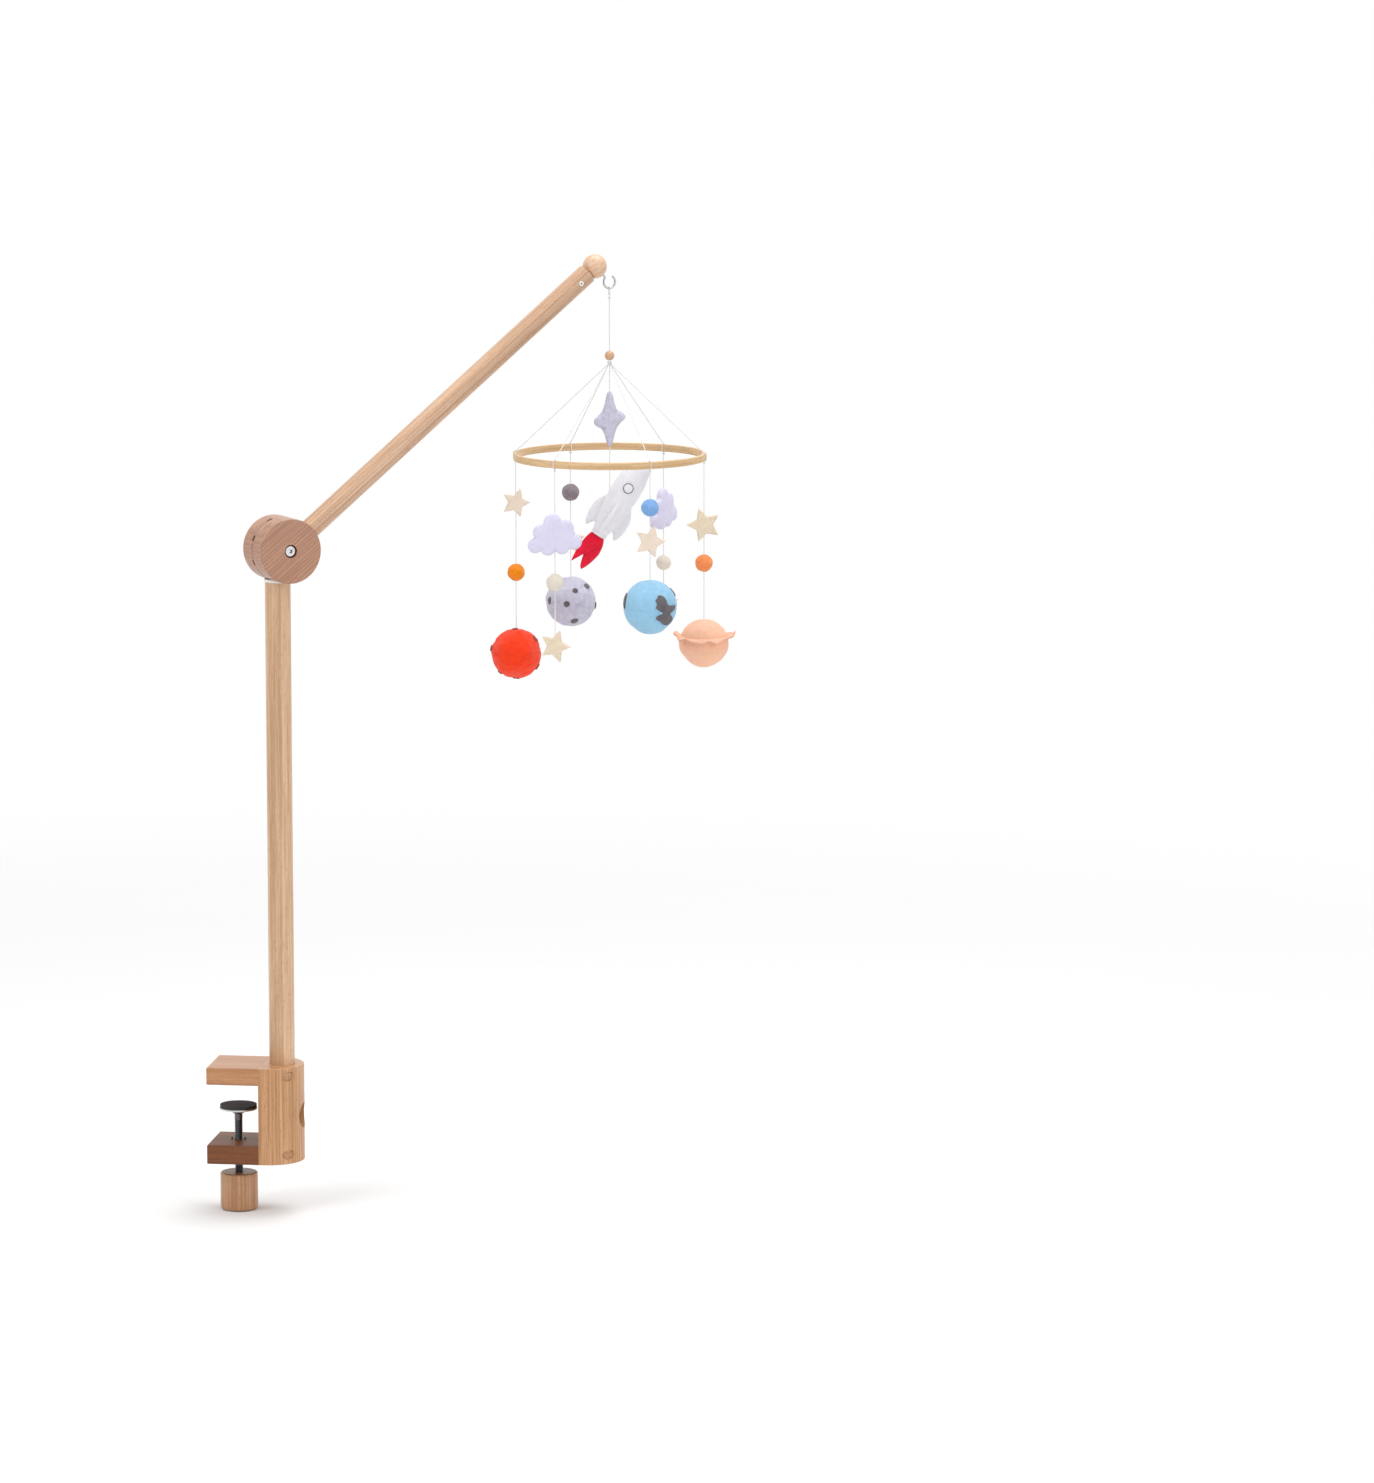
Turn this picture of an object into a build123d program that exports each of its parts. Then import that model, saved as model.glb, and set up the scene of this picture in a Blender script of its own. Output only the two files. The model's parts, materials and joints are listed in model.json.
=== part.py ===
# Crib mobile on a table-clamp arm, in millimetres, +Z up.
#
# The origin is on the lower face of the clamp's top jaw, on the axis of the clamp screw.
# The jaws reach towards -X, and the half-round clamp body is at +X and carries the post.
# The knuckle on top of the post joins two wooden discs. The front disc carries the arm,
# and the arm ends in a ball with a cup hook that the felt mobile hangs on.
from build123d import *
import os
from math import atan2, cos, degrees, pi, radians, sin, sqrt

os.makedirs("parts", exist_ok=True)

# Clamp: a D-shaped body with two jaws screwed to its flat face.
BODY_WIDTH = 66.0
BODY_DEPTH = 39.5
BODY_FLAT_X = 26.0
JAW_THICK = 17.0
LOW_JAW_THICK = 19.0
JAW_REACH = 51.5
THROAT = 60.0
EDGE_EASE = 1.2
SCREW_OFFSET_Y = 24.0
SCREW_SHANK_D = 4.5
SCREW_LENGTH = 38.0
SCREW_HEAD_D = 8.4
SCREW_HEAD_H = 3.2
COUNTERBORE_D = 9.6
COUNTERBORE_DEPTH = 12.0
PLUG_D = 9.4
PLUG_GAP = 0.3
PLUG_DROP = 2.0
KEY_DEPTH = 1.6
TABLE_THICK = 25.0

# Clamp screw: an M8 thread in a tee nut, with a wooden knob and a padded steel disc.
THREAD_D = 8.0
THREAD_HOLE_CLEAR = 0.08
JAW_HOLE_CLEAR = 0.6
NUT_FLANGE_D = 19.0
NUT_FLANGE_T = 1.5
NUT_BARREL_D = 10.5
NUT_BARREL_L = 11.0
KNOB_D = 37.0
KNOB_H = 37.0
KNOB_GAP = 13.5
KNOB_SOCKET = 26.0
KNOB_LOW_ROUND = 3.0
KNOB_TOP_ROUND = 2.0
PAD_D = 36.0
PAD_T = 3.0
DISC_D = 37.0
DISC_T = 1.6
HUB_D = 17.0
HUB_H = 6.0

# Post and its two sockets in the clamp body.
POST_D = 25.0
POST_X = 44.0
POST_TOP = 493.0
SOCKET_CLEAR = 0.2
SOCKET_DEPTH = 32.0
RAIL_SOCKET_DEPTH = 30.0
RAIL_SOCKET_Z = -34.0
INSERT_D = 10.0
INSERT_L = 18.0
STUD_D = 6.0
STUD_L = 30.0
STUD_SHIFT = 2.0
WASHER_D = 26.5
WASHER_T = 3.0

# Knuckle: two discs on one bolt, with index slots in the seam.
SWIVEL_DEG = 33.5
DISC_R = 31.5
DISC_THICK = 22.0
SEAM = 1.0
FLAT_DROP = 30.0
SLOT_COUNT = 8
SLOT_W = 5.5
SLOT_L = 8.0
SLOT_DEPTH = 2.5
TOOTH_CLEAR = 0.2
BOLT_D = 6.0
BOLT_HEAD_D = 11.0
BOLT_HEAD_H = 4.0
BOLT_BORE_D = 13.0
BOLT_BORE_DEPTH = 5.5
HEX_SOCKET = 4.0
HEX_DEPTH = 2.4
DISC_EDGE = 0.6
KNUCKLE_NUT_D = 10.0
KNUCKLE_NUT_L = 14.0

# Arm, with a tenon in the front disc, a ball at its tip and a cup hook in the ball.
ARM_D = 20.0
ARM_LENGTH = 422.5
ARM_TILT_DEG = 38.5
TENON_D = 12.0
TENON_L = 16.0
BALL_D = 24.0
BALL_FLAT = 11.0
DOWEL_D = 8.0
DOWEL_L = 9.0
EYELET_D = 4.6
EYELET_HOLE_D = 2.2
EYELET_LIP = 0.7
EYELET_L = 5.1
EYELET_T = 0.8
EYELET_BACK = 14.0
WIRE_D = 2.0
HOOK_R = 6.2
HOOK_BEND_R = 2.0
HOOK_REACH = 22.5
HOOK_DROP_DEG = 45.0
HOOK_TURN_DEG = 285.0
HOOK_SCREWED = 8.0

# Mobile: hanging line, bead, gathered rigging and wooden hoop.
STRING_D = 1.0
LINE_D = 1.2
BORE_CLEAR = 0.1
STRING_GAP = 0.1
STRING_KNOT_R = 1.2
LOOP_LENGTH = 7.0
KNOT_D = 3.0
KNOT_DROP = 1.0
BEAD_D = 9.6
BEAD_BELOW_HOOK = 66.5
GATHER_BELOW_BEAD = 8.0
GATHER_FAN = 1.7
HOOP_BELOW_HOOK = 166.0
HOOP_R = 95.0
HOOP_HEIGHT = 7.2
HOOP_WALL = 3.2
STRING_COUNT = 6
FIRST_STRING_DEG = 2.7
FACING_DEG = 8.0

# Heights of the felt toys below the middle of the hoop, and their sizes.
BALL_TOY_D = 17.5
STAR_A_DROP = 47.0
BALL_A_DROP = 116.5
PLANET_DROP = 197.5
PLANET_D = 50.0
CLOUD_B_DROP = 69.0
BALL_B_DROP = 116.0
STAR_B_DROP = 179.0
BALL_C_DROP = 45.5
STAR_C_DROP = 93.5
MOON_DROP = 155.5
MOON_D = 50.5
BALL_D_DROP = 41.5
STAR_D_DROP = 75.0
EARTH_DROP = 138.5
EARTH_D = 53.0
CLOUD_E_DROP = 61.0
BALL_E_DROP = 115.5
STAR_E_DROP = 158.0
STAR_F_DROP = 67.5
BALL_F_DROP = 105.5
SATURN_DROP = 184.5
SATURN_D = 49.0
SATURN_BRIM_R = 30.5
SATURN_BRIM_T = 4.0
SATURN_BRIM_RISE = 5.0
SATURN_WAVES = 7
SATURN_WAVE_DEPTH = 2.0
SATURN_STAR_SIZE = 35.0
EARTH_STAR_SIZE = 33.0
CLOUD_STAR_SIZE = 33.0
PLANET_STAR_SIZE = 30.0
MOON_STAR_SIZE = 31.0
SMALL_BALL_D = 15.0
STAR_THICK = 4.5
CLOUD_W = 53.0
CLOUD_H = 41.0
CLOUD_THICK = 9.0
CENTRE_STAR_RISE = 37.0
CENTRE_STAR_W = 33.0
CENTRE_STAR_H = 62.0
CENTRE_STAR_T = 12.0
CENTRE_STAR_TURN = 6.0
ROCKET_DROP = 30.0
ROCKET_LEAN_DEG = 58.0
ROCKET_R = 14.5
ROCKET_NOSE = 29.0
ROCKET_TAIL = 54.0
ROCKET_STITCH = 7.5
WINDOW_D = 10.5
WINDOW_T = 3.0
WINDOW_ASIDE = 18.3
WINDOW_DROP = 0.5
FIN_TOP = 19.0
FIN_LOW = 52.0
FIN_TIP = 8.0
FIN_REACH = 21.0
FIN_T = 5.0
FIN_CLEAR = 0.15
COLLAR_R = 7.8
COLLAR_L = 2.5
FLAME_L = 36.0
FLAME_W = 24.0
FLAME_T = 10.0

# Places worked out from the sizes above.
body_right_x = BODY_FLAT_X + BODY_DEPTH
round_r = BODY_WIDTH / 2
round_x = body_right_x - round_r
body_bottom = -THROAT - LOW_JAW_THICK
body_height = JAW_THICK + THROAT + LOW_JAW_THICK
socket_floor = JAW_THICK - SOCKET_DEPTH
knob_top = body_bottom - KNOB_GAP
knuckle_z = POST_TOP + WASHER_T + FLAT_DROP
arm_offset = DISC_THICK / 2 + SEAM + DISC_THICK / 2
front_inner = DISC_THICK / 2 + SEAM
front_outer = front_inner + DISC_THICK
arm_dir = Vector(cos(radians(ARM_TILT_DEG)), sin(radians(ARM_TILT_DEG)), 0)
hook_dir = Vector(cos(radians(HOOK_DROP_DEG)), -sin(radians(HOOK_DROP_DEG)), 0)

# The knuckle's frame: x along the swivelled arm's heading, y up and z out of the front disc.
heading = radians(SWIVEL_DEG)
KNUCKLE = Plane(
    origin=(POST_X, 0, knuckle_z),
    x_dir=(cos(heading), sin(heading), 0),
    z_dir=(sin(heading), -cos(heading), 0),
)


def save(name, shape):
    """Write one sub-part under its node's name."""
    export_step(shape, f"parts/{name}.step")


def disc(x, y, z0, z1, r):
    """An upright cylinder between two heights."""
    return Pos(x, y, (z0 + z1) / 2) * Cylinder(r, z1 - z0)


def rod(start, end, r):
    """A cylinder from one point to another."""
    start = Vector(*start) if isinstance(start, tuple) else start
    end = Vector(*end) if isinstance(end, tuple) else end
    span = end - start
    base = Plane(origin=start, z_dir=span)
    return base.location * Cylinder(r, span.length, align=(Align.CENTER, Align.CENTER, Align.MIN))


def at_knuckle(shape):
    """Move a shape from the knuckle's frame into the part's frame."""
    return KNUCKLE.location * shape


# ---------------------------------------------------------------- clamp
def clamp_screw_places():
    """Height and side of the four jaw screws: two in each jaw."""
    for z in (JAW_THICK / 2, body_bottom + LOW_JAW_THICK / 2):
        for y in (-SCREW_OFFSET_Y, SCREW_OFFSET_Y):
            yield y, z


seat_x = round_x + sqrt(round_r**2 - SCREW_OFFSET_Y**2) - COUNTERBORE_DEPTH


def clamp_body():
    """The D-shaped block: a flat face for the jaws and a half-round back."""
    block = Pos((BODY_FLAT_X + round_x) / 2, 0, 0) * Box(
        round_x - BODY_FLAT_X, BODY_WIDTH, body_height
    )
    keep = Pos(BODY_FLAT_X + BODY_DEPTH, 0, 0) * Box(2 * BODY_DEPTH, BODY_WIDTH + 2, body_height)
    shape = (block + Pos(round_x, 0, 0) * Cylinder(round_r, body_height)) & keep
    shape = Pos(0, 0, (JAW_THICK + body_bottom) / 2) * shape
    rims = shape.edges().group_by(Axis.Z)[0] + shape.edges().group_by(Axis.Z)[-1]
    rims = rims.filter_by(lambda e: e.center().X > BODY_FLAT_X + 0.1)
    shape = fillet(rims, EDGE_EASE)
    shape -= disc(POST_X, 0, socket_floor, JAW_THICK + 1, POST_D / 2 + SOCKET_CLEAR)
    shape -= rod(
        (body_right_x - RAIL_SOCKET_DEPTH, 0, RAIL_SOCKET_Z),
        (body_right_x + 1, 0, RAIL_SOCKET_Z),
        POST_D / 2 + SOCKET_CLEAR,
    )
    for y, z in clamp_screw_places():
        shape -= rod((BODY_FLAT_X - 1, y, z), (seat_x, y, z), SCREW_SHANK_D / 2 + BORE_CLEAR)
        shape -= rod((seat_x, y, z), (body_right_x + 1, y, z), COUNTERBORE_D / 2)
    return shape


def jaw(z_low, thick):
    """One jaw board, rounded along its free edges, with pilot holes for its screws."""
    shape = Pos(BODY_FLAT_X - JAW_REACH / 2, 0, z_low + thick / 2) * Box(
        JAW_REACH, BODY_WIDTH, thick
    )
    free = shape.edges().filter_by(lambda e: e.center().X < BODY_FLAT_X - 0.1)
    shape = fillet(free, EDGE_EASE)
    for y, z in clamp_screw_places():
        tip = seat_x - SCREW_LENGTH
        shape -= rod((tip - 1, y, z), (BODY_FLAT_X + 1, y, z), SCREW_SHANK_D / 2 + BORE_CLEAR)
    return shape


def bottom_jaw():
    """The lower jaw, bored for the clamp screw and the tee nut."""
    shape = jaw(body_bottom, LOW_JAW_THICK)
    nut_top = body_bottom + NUT_BARREL_L
    shape -= disc(0, 0, body_bottom - 1, -THROAT + 1, THREAD_D / 2 + JAW_HOLE_CLEAR)
    shape -= disc(0, 0, body_bottom - 1, nut_top, NUT_BARREL_D / 2 + BORE_CLEAR / 2)
    shape -= disc(0, 0, body_bottom - 1, body_bottom + NUT_FLANGE_T, NUT_FLANGE_D / 2 + BORE_CLEAR)
    return shape


def jaw_screws():
    """Four wood screws with pan heads and hexagon sockets."""
    solids = []
    for y, z in clamp_screw_places():
        screw = rod((seat_x - SCREW_LENGTH, y, z), (seat_x, y, z), SCREW_SHANK_D / 2)
        screw += rod((seat_x, y, z), (seat_x + SCREW_HEAD_H, y, z), SCREW_HEAD_D / 2)
        key = Plane(origin=(seat_x + SCREW_HEAD_H - KEY_DEPTH, y, z), z_dir=(1, 0, 0))
        screw -= key * extrude(RegularPolygon(HEX_SOCKET * 0.45, 6), KEY_DEPTH + 1)
        solids.append(screw)
    return Compound(children=solids)


def screw_plugs():
    """Wooden plugs over the screw heads, with faces that follow the round back below it."""
    low = seat_x + SCREW_HEAD_H + PLUG_GAP
    inner = Pos(round_x, 0, (JAW_THICK + body_bottom) / 2) * Cylinder(
        round_r - PLUG_DROP, body_height
    )
    places = clamp_screw_places()
    plugs = [rod((low, y, z), (body_right_x, y, z), PLUG_D / 2) & inner for y, z in places]
    return Compound(children=plugs)


def tee_nut():
    """A flanged steel nut let into the lower face of the bottom jaw."""
    shape = disc(0, 0, body_bottom, body_bottom + NUT_FLANGE_T, NUT_FLANGE_D / 2)
    shape += disc(0, 0, body_bottom, body_bottom + NUT_BARREL_L, NUT_BARREL_D / 2)
    return shape - disc(0, 0, body_bottom - 1, -THROAT, THREAD_D / 2 + THREAD_HOLE_CLEAR)


save("clamp_body", clamp_body())
save("top_jaw", jaw(0, JAW_THICK))
save("bottom_jaw", bottom_jaw())
save("jaw_screws", jaw_screws())
save("screw_plugs", screw_plugs())
save("tee_nut", tee_nut())

# Pressure pad: rubber face, steel disc and a domed hub that the screw turns in.
pad_bottom = -TABLE_THICK - PAD_T
disc_bottom = pad_bottom - DISC_T
hub_bottom = disc_bottom - HUB_H
screw_top = disc_bottom - 1.5


def disc_hub():
    """A domed collar under the steel disc, bored for the plain end of the screw."""
    dome_r = (HUB_H**2 + (HUB_D / 2) ** 2) / (2 * HUB_H)
    dome = Pos(0, 0, disc_bottom - HUB_H + dome_r) * Sphere(dome_r)
    shape = dome & disc(0, 0, hub_bottom, disc_bottom, HUB_D / 2)
    return shape - disc(0, 0, hub_bottom - 1, screw_top + 0.1, THREAD_D / 2 + THREAD_HOLE_CLEAR)


def clamp_knob():
    """A turned wooden knob, rounded at its lower end, with a socket for the screw."""
    shape = disc(0, 0, knob_top - KNOB_H, knob_top, KNOB_D / 2)
    low = shape.edges().group_by(Axis.Z)[0]
    shape = fillet(low, KNOB_LOW_ROUND)
    high = shape.edges().group_by(Axis.Z)[-1]
    shape = fillet(high, KNOB_TOP_ROUND)
    return shape - disc(0, 0, knob_top - KNOB_SOCKET, knob_top + 1, THREAD_D / 2)


save("disc_pad", disc(0, 0, pad_bottom, -TABLE_THICK, PAD_D / 2))
save("pressure_disc", disc(0, 0, disc_bottom, pad_bottom, DISC_D / 2))
save("disc_hub", disc_hub())
save("clamp_screw", disc(0, 0, knob_top - KNOB_SOCKET, screw_top, THREAD_D / 2))
save("clamp_knob", clamp_knob())


# ---------------------------------------------------------------- post
def post():
    """The round post, bored at its top for a threaded insert."""
    shape = disc(POST_X, 0, socket_floor, POST_TOP, POST_D / 2)
    rims = shape.edges().group_by(Axis.Z)[0]
    shape = chamfer(rims, 0.8)
    hole_depth = STUD_L - WASHER_T
    shape -= disc(POST_X, 0, POST_TOP - hole_depth, POST_TOP + 1, STUD_D / 2 + 0.5)
    return shape - disc(POST_X, 0, POST_TOP - INSERT_L, POST_TOP + 1, INSERT_D / 2)


def post_insert():
    """A brass insert for the knuckle's stud."""
    shape = disc(POST_X, 0, POST_TOP - INSERT_L, POST_TOP, INSERT_D / 2)
    return shape - disc(POST_X, 0, POST_TOP - INSERT_L - 1, POST_TOP + 1, STUD_D / 2 + 0.08)


def swivel_washer():
    """The white plastic washer between the post and the knuckle."""
    shape = disc(POST_X, 0, POST_TOP, POST_TOP + WASHER_T, WASHER_D / 2)
    shape = chamfer(shape.edges().filter_by(GeomType.CIRCLE), 0.4)
    return shape - disc(POST_X, 0, POST_TOP - 1, POST_TOP + WASHER_T + 1, STUD_D / 2 + 0.08)


stud_seat = POST_TOP + WASHER_T
stud_grip = STUD_L / 2 - STUD_SHIFT


def swivel_stud():
    """A steel stud fixed up into the rear disc, turning in the post's insert."""
    return disc(POST_X, 0, stud_seat - STUD_L / 2 - 4 * STUD_SHIFT, stud_seat + stud_grip, STUD_D / 2)


save("post", post())
save("post_insert", post_insert())
save("swivel_washer", swivel_washer())
save("swivel_stud", swivel_stud())


# ---------------------------------------------------------------- knuckle
def index_blocks(width, length, z0, z1):
    """Blocks at each index place around the seam, in the knuckle's frame."""
    blocks = []
    for i in range(SLOT_COUNT):
        turn = 360 / SLOT_COUNT * (i + 0.5)
        middle = Pos(DISC_R - length / 2 + 1.0, 0, (z0 + z1) / 2)
        blocks.append(Rot(0, 0, turn) * middle * Box(length + 2.0, width, z1 - z0))
    return blocks


def rear_disc():
    """The disc that stands on the post, slotted on its seam face."""
    half = DISC_THICK / 2
    shape = Cylinder(DISC_R, DISC_THICK)
    shape = chamfer(shape.edges().filter_by(GeomType.CIRCLE), DISC_EDGE)
    shape -= Pos(0, -FLAT_DROP - 5, 0) * Box(2 * DISC_R, 10, DISC_THICK + 2)
    for block in index_blocks(SLOT_W, SLOT_L, half - SLOT_DEPTH, half + 1):
        shape -= block
    shape -= Cylinder(BOLT_D / 2 + 0.3, DISC_THICK + 2)
    shape -= Pos(0, 0, -half + KNUCKLE_NUT_L / 2) * Cylinder(KNUCKLE_NUT_D / 2, KNUCKLE_NUT_L)
    stud_hole = disc(POST_X, 0, stud_seat - 1, stud_seat + stud_grip, STUD_D / 2)
    return at_knuckle(shape) - stud_hole


def front_disc():
    """The disc that carries the arm, with index teeth just proud of its seam face."""
    tooth_high = SEAM - TOOTH_CLEAR
    shape = Pos(0, 0, arm_offset) * Cylinder(DISC_R, DISC_THICK)
    shape = chamfer(shape.edges().filter_by(GeomType.CIRCLE), DISC_EDGE)
    rim = Pos(0, 0, front_inner) * Cylinder(DISC_R - DISC_EDGE, 2 * tooth_high)
    teeth = index_blocks(SLOT_W - 0.6, SLOT_L - 1.0, front_inner - tooth_high, front_inner + 1)
    for block in teeth:
        shape += block & rim
    shape -= Pos(0, 0, arm_offset) * Cylinder(BOLT_D / 2 + 0.08, DISC_THICK + 4)
    shape -= Pos(0, 0, front_outer) * Cylinder(BOLT_BORE_D / 2, 2 * BOLT_BORE_DEPTH)
    tip = arm_dir * (DISC_R + 1)
    root = arm_dir * (DISC_R - TENON_L)
    socket = rod(
        Vector(root.X, root.Y, arm_offset), Vector(tip.X, tip.Y, arm_offset), TENON_D / 2
    )
    return at_knuckle(shape - socket)


def pivot_bolt():
    """The socket-head bolt through both discs."""
    head_low = front_outer - BOLT_BORE_DEPTH
    shape = Pos(0, 0, head_low + BOLT_HEAD_H / 2) * Cylinder(BOLT_HEAD_D / 2, BOLT_HEAD_H)
    shape = fillet(shape.edges().group_by(Axis.Z)[-1], 1.0)
    tail = -DISC_THICK / 2 + 2.0
    shape += Pos(0, 0, (head_low + tail) / 2) * Cylinder(BOLT_D / 2, head_low - tail)
    hexagon = extrude(RegularPolygon(HEX_SOCKET / sqrt(3), 6), HEX_DEPTH + 1)
    key = Pos(0, 0, head_low + BOLT_HEAD_H - HEX_DEPTH) * hexagon
    return at_knuckle(shape - key)


def pivot_insert():
    """A brass insert in the rear disc that the bolt is screwed into."""
    z = -DISC_THICK / 2 + KNUCKLE_NUT_L / 2
    shape = Pos(0, 0, z) * Cylinder(KNUCKLE_NUT_D / 2, KNUCKLE_NUT_L)
    return at_knuckle(shape - Pos(0, 0, z) * Cylinder(BOLT_D / 2 + 0.08, KNUCKLE_NUT_L + 2))


save("rear_disc", rear_disc())
save("front_disc", front_disc())
save("pivot_bolt", pivot_bolt())
save("pivot_insert", pivot_insert())


# ---------------------------------------------------------------- arm
ball_centre = Vector(arm_dir.X * ARM_LENGTH, arm_dir.Y * ARM_LENGTH, arm_offset)
hook_centre = ball_centre + hook_dir * HOOK_REACH
arm_end = ARM_LENGTH - BALL_FLAT


def on_arm(distance):
    """A point on the arm's axis, in the knuckle's frame."""
    return Vector(arm_dir.X * distance, arm_dir.Y * distance, arm_offset)


eyelet_side = Vector(0, 0, 1)


def arm_rod():
    """The round arm: a saddle-cut shoulder and a tenon at the disc, a dowel hole at the tip."""
    shape = rod(on_arm(DISC_R - 6), on_arm(arm_end), ARM_D / 2)
    shape -= Pos(0, 0, arm_offset) * Cylinder(DISC_R, ARM_D + 4)
    shape += rod(on_arm(DISC_R - TENON_L), on_arm(DISC_R + 2), TENON_D / 2)
    shape -= rod(on_arm(arm_end - DOWEL_L), on_arm(arm_end + 1), DOWEL_D / 2)
    pin = on_arm(arm_end - EYELET_BACK)
    hole_start = ARM_D / 2 + 0.1 - EYELET_L
    barrel_r = EYELET_D / 2 - EYELET_LIP
    shape -= rod(pin + eyelet_side * hole_start, pin + eyelet_side * ARM_D, barrel_r)
    return at_knuckle(shape)


def end_ball():
    """The wooden ball, flat where it meets the arm, with its own dowel."""
    shape = Pos(*ball_centre) * Sphere(BALL_D / 2)
    shape -= rod(on_arm(arm_end - 10), on_arm(arm_end), ARM_D)
    shape += rod(on_arm(arm_end - DOWEL_L), on_arm(arm_end + 1), DOWEL_D / 2)
    start = ball_centre + hook_dir * (BALL_D / 2 - HOOK_SCREWED)
    return at_knuckle(shape - rod(start, hook_centre, WIRE_D / 2))


def arm_eyelet():
    """A small white ring let into the side of the arm near its tip."""
    pin = on_arm(arm_end - EYELET_BACK)
    face = ARM_D / 2 + 0.1
    barrel_r = EYELET_D / 2 - EYELET_LIP
    shape = rod(pin + eyelet_side * (face - EYELET_L), pin + eyelet_side * face, barrel_r)
    shape += rod(pin + eyelet_side * face, pin + eyelet_side * (face + EYELET_T), EYELET_D / 2)
    hole_start = face - EYELET_L + 1
    hole = rod(pin + eyelet_side * hole_start, pin + eyelet_side * ARM_D, EYELET_HOLE_D / 2)
    return at_knuckle(shape - hole)


def cup_hook():
    """A cup hook: a shank screwed into the ball, bent once into an open round bowl."""
    reach = sqrt((HOOK_R + HOOK_BEND_R) ** 2 - HOOK_BEND_R**2)
    entry = degrees(atan2(HOOK_BEND_R, reach))
    shank = Line((HOOK_REACH - BALL_D / 2 + HOOK_SCREWED, 0), (reach, 0))
    bend = JernArc(shank @ 1, (-1, 0), HOOK_BEND_R, entry - 90)
    bowl = JernArc(bend @ 1, bend % 1, HOOK_R, HOOK_TURN_DEG - entry)
    path = Wire([shank.edge(), bend.edge(), bowl.edge()])
    section = Plane(origin=shank @ 0, z_dir=(-1, 0, 0)) * Circle(WIRE_D / 2)
    wire = sweep(section, path=path)
    return at_knuckle(Pos(*hook_centre) * Rot(0, 0, 180 - HOOK_DROP_DEG) * wire)


save("arm_rod", arm_rod())
save("end_ball", end_ball())
save("arm_eyelet", arm_eyelet())
save("cup_hook", cup_hook())

# ---------------------------------------------------------------- mobile
hook_world = KNUCKLE.from_local_coords(hook_centre)
line_x = hook_world.X
line_y = hook_world.Y
wire_z = hook_world.Z - HOOK_R
loop_r = WIRE_D / 2 + STRING_D / 2 + BORE_CLEAR
knot_z = wire_z - LOOP_LENGTH - loop_r - STRING_D / 2
bead_z = wire_z - BEAD_BELOW_HOOK
gather_z = bead_z - GATHER_BELOW_BEAD
hoop_z = wire_z - HOOP_BELOW_HOOK
hoop_low = hoop_z - HOOP_HEIGHT / 2
hoop_top = hoop_z + HOOP_HEIGHT / 2
string_r = HOOP_R - HOOP_WALL / 2
wrap_gap = STRING_D / 2 + 0.05


def hang_loop():
    """The tied loop over the hook's wire, with its knot."""
    side = Plane(
        origin=(line_x, line_y, wire_z),
        x_dir=(sin(heading), -cos(heading), 0),
        z_dir=(cos(heading), sin(heading), 0),
    )
    drop = LOOP_LENGTH
    ring = side * SlotCenterToCenter(drop, 2 * loop_r + STRING_D, rotation=90)
    hole = side * SlotCenterToCenter(drop, 2 * loop_r - STRING_D, rotation=90)
    band = extrude(ring - hole, STRING_D / 2, both=True)
    band = Pos(0, 0, -drop / 2) * band
    band = fillet(band.edges(), STRING_D * 0.4)
    return band + Pos(line_x, line_y, knot_z) * Sphere(KNOT_D / 2)


def bead():
    """A small turned wooden bead on the line."""
    shape = Pos(line_x, line_y, bead_z) * Sphere(BEAD_D / 2)
    return shape - disc(line_x, line_y, bead_z - BEAD_D, bead_z + BEAD_D, LINE_D / 2 + BORE_CLEAR)


def hoop():
    """The flat wooden band that the strings hang from."""
    shape = Cylinder(HOOP_R, HOOP_HEIGHT) - Cylinder(HOOP_R - HOOP_WALL, HOOP_HEIGHT + 1)
    shape = fillet(shape.edges().filter_by(GeomType.CIRCLE), 0.8)
    return Pos(line_x, line_y, hoop_z) * shape


def around(index):
    """The frame of one string place: x outwards, at the middle of the hoop's wall."""
    turn = FIRST_STRING_DEG - index * 360 / STRING_COUNT
    return Pos(line_x, line_y, hoop_z) * Rot(0, 0, turn) * Pos(string_r, 0, 0)


def rigging():
    """Six taut lines, each tied round the hoop, and the knot that gathers them."""
    solids = [disc(line_x, line_y, gather_z - KNOT_DROP, knot_top, KNOT_D * 0.6)]
    width = HOOP_WALL + 2 * wrap_gap
    height = HOOP_HEIGHT + 2 * wrap_gap
    outer = RectangleRounded(width + STRING_D, height + STRING_D, 1.2)
    inner = RectangleRounded(width - STRING_D, height - STRING_D, 0.3)
    wrap = Rot(90, 0, 0) * extrude(outer - inner, STRING_D / 2, both=True)
    for i in range(STRING_COUNT):
        turn = radians(FIRST_STRING_DEG - i * 360 / STRING_COUNT)
        low = Vector(
            line_x + string_r * cos(turn), line_y + string_r * sin(turn), hoop_top + wrap_gap
        )
        top = Vector(line_x + 1.4 * cos(turn), line_y + 1.4 * sin(turn), gather_z - GATHER_FAN)
        solids.append(around(i) * wrap + rod(low, top, STRING_D / 2))
    return Compound(children=solids)


knot_top = bead_z - BEAD_D / 2
line_top = knot_z - KNOT_D / 2 - 0.1
save("hang_loop", hang_loop())
save("main_line", disc(line_x, line_y, knot_top + 0.1, line_top, LINE_D / 2))
save("bead", bead())
save("rigging", rigging())
save("hoop", hoop())


# ---------------------------------------------------------------- felt toys
# Each toy is made about its own centre, with x to the side, y towards the back and z up.
def upright(face, thick):
    """Stand a flat outline up in the xz plane and give it thickness."""
    return Rot(90, 0, 0) * extrude(face, thick / 2, both=True)


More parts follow.
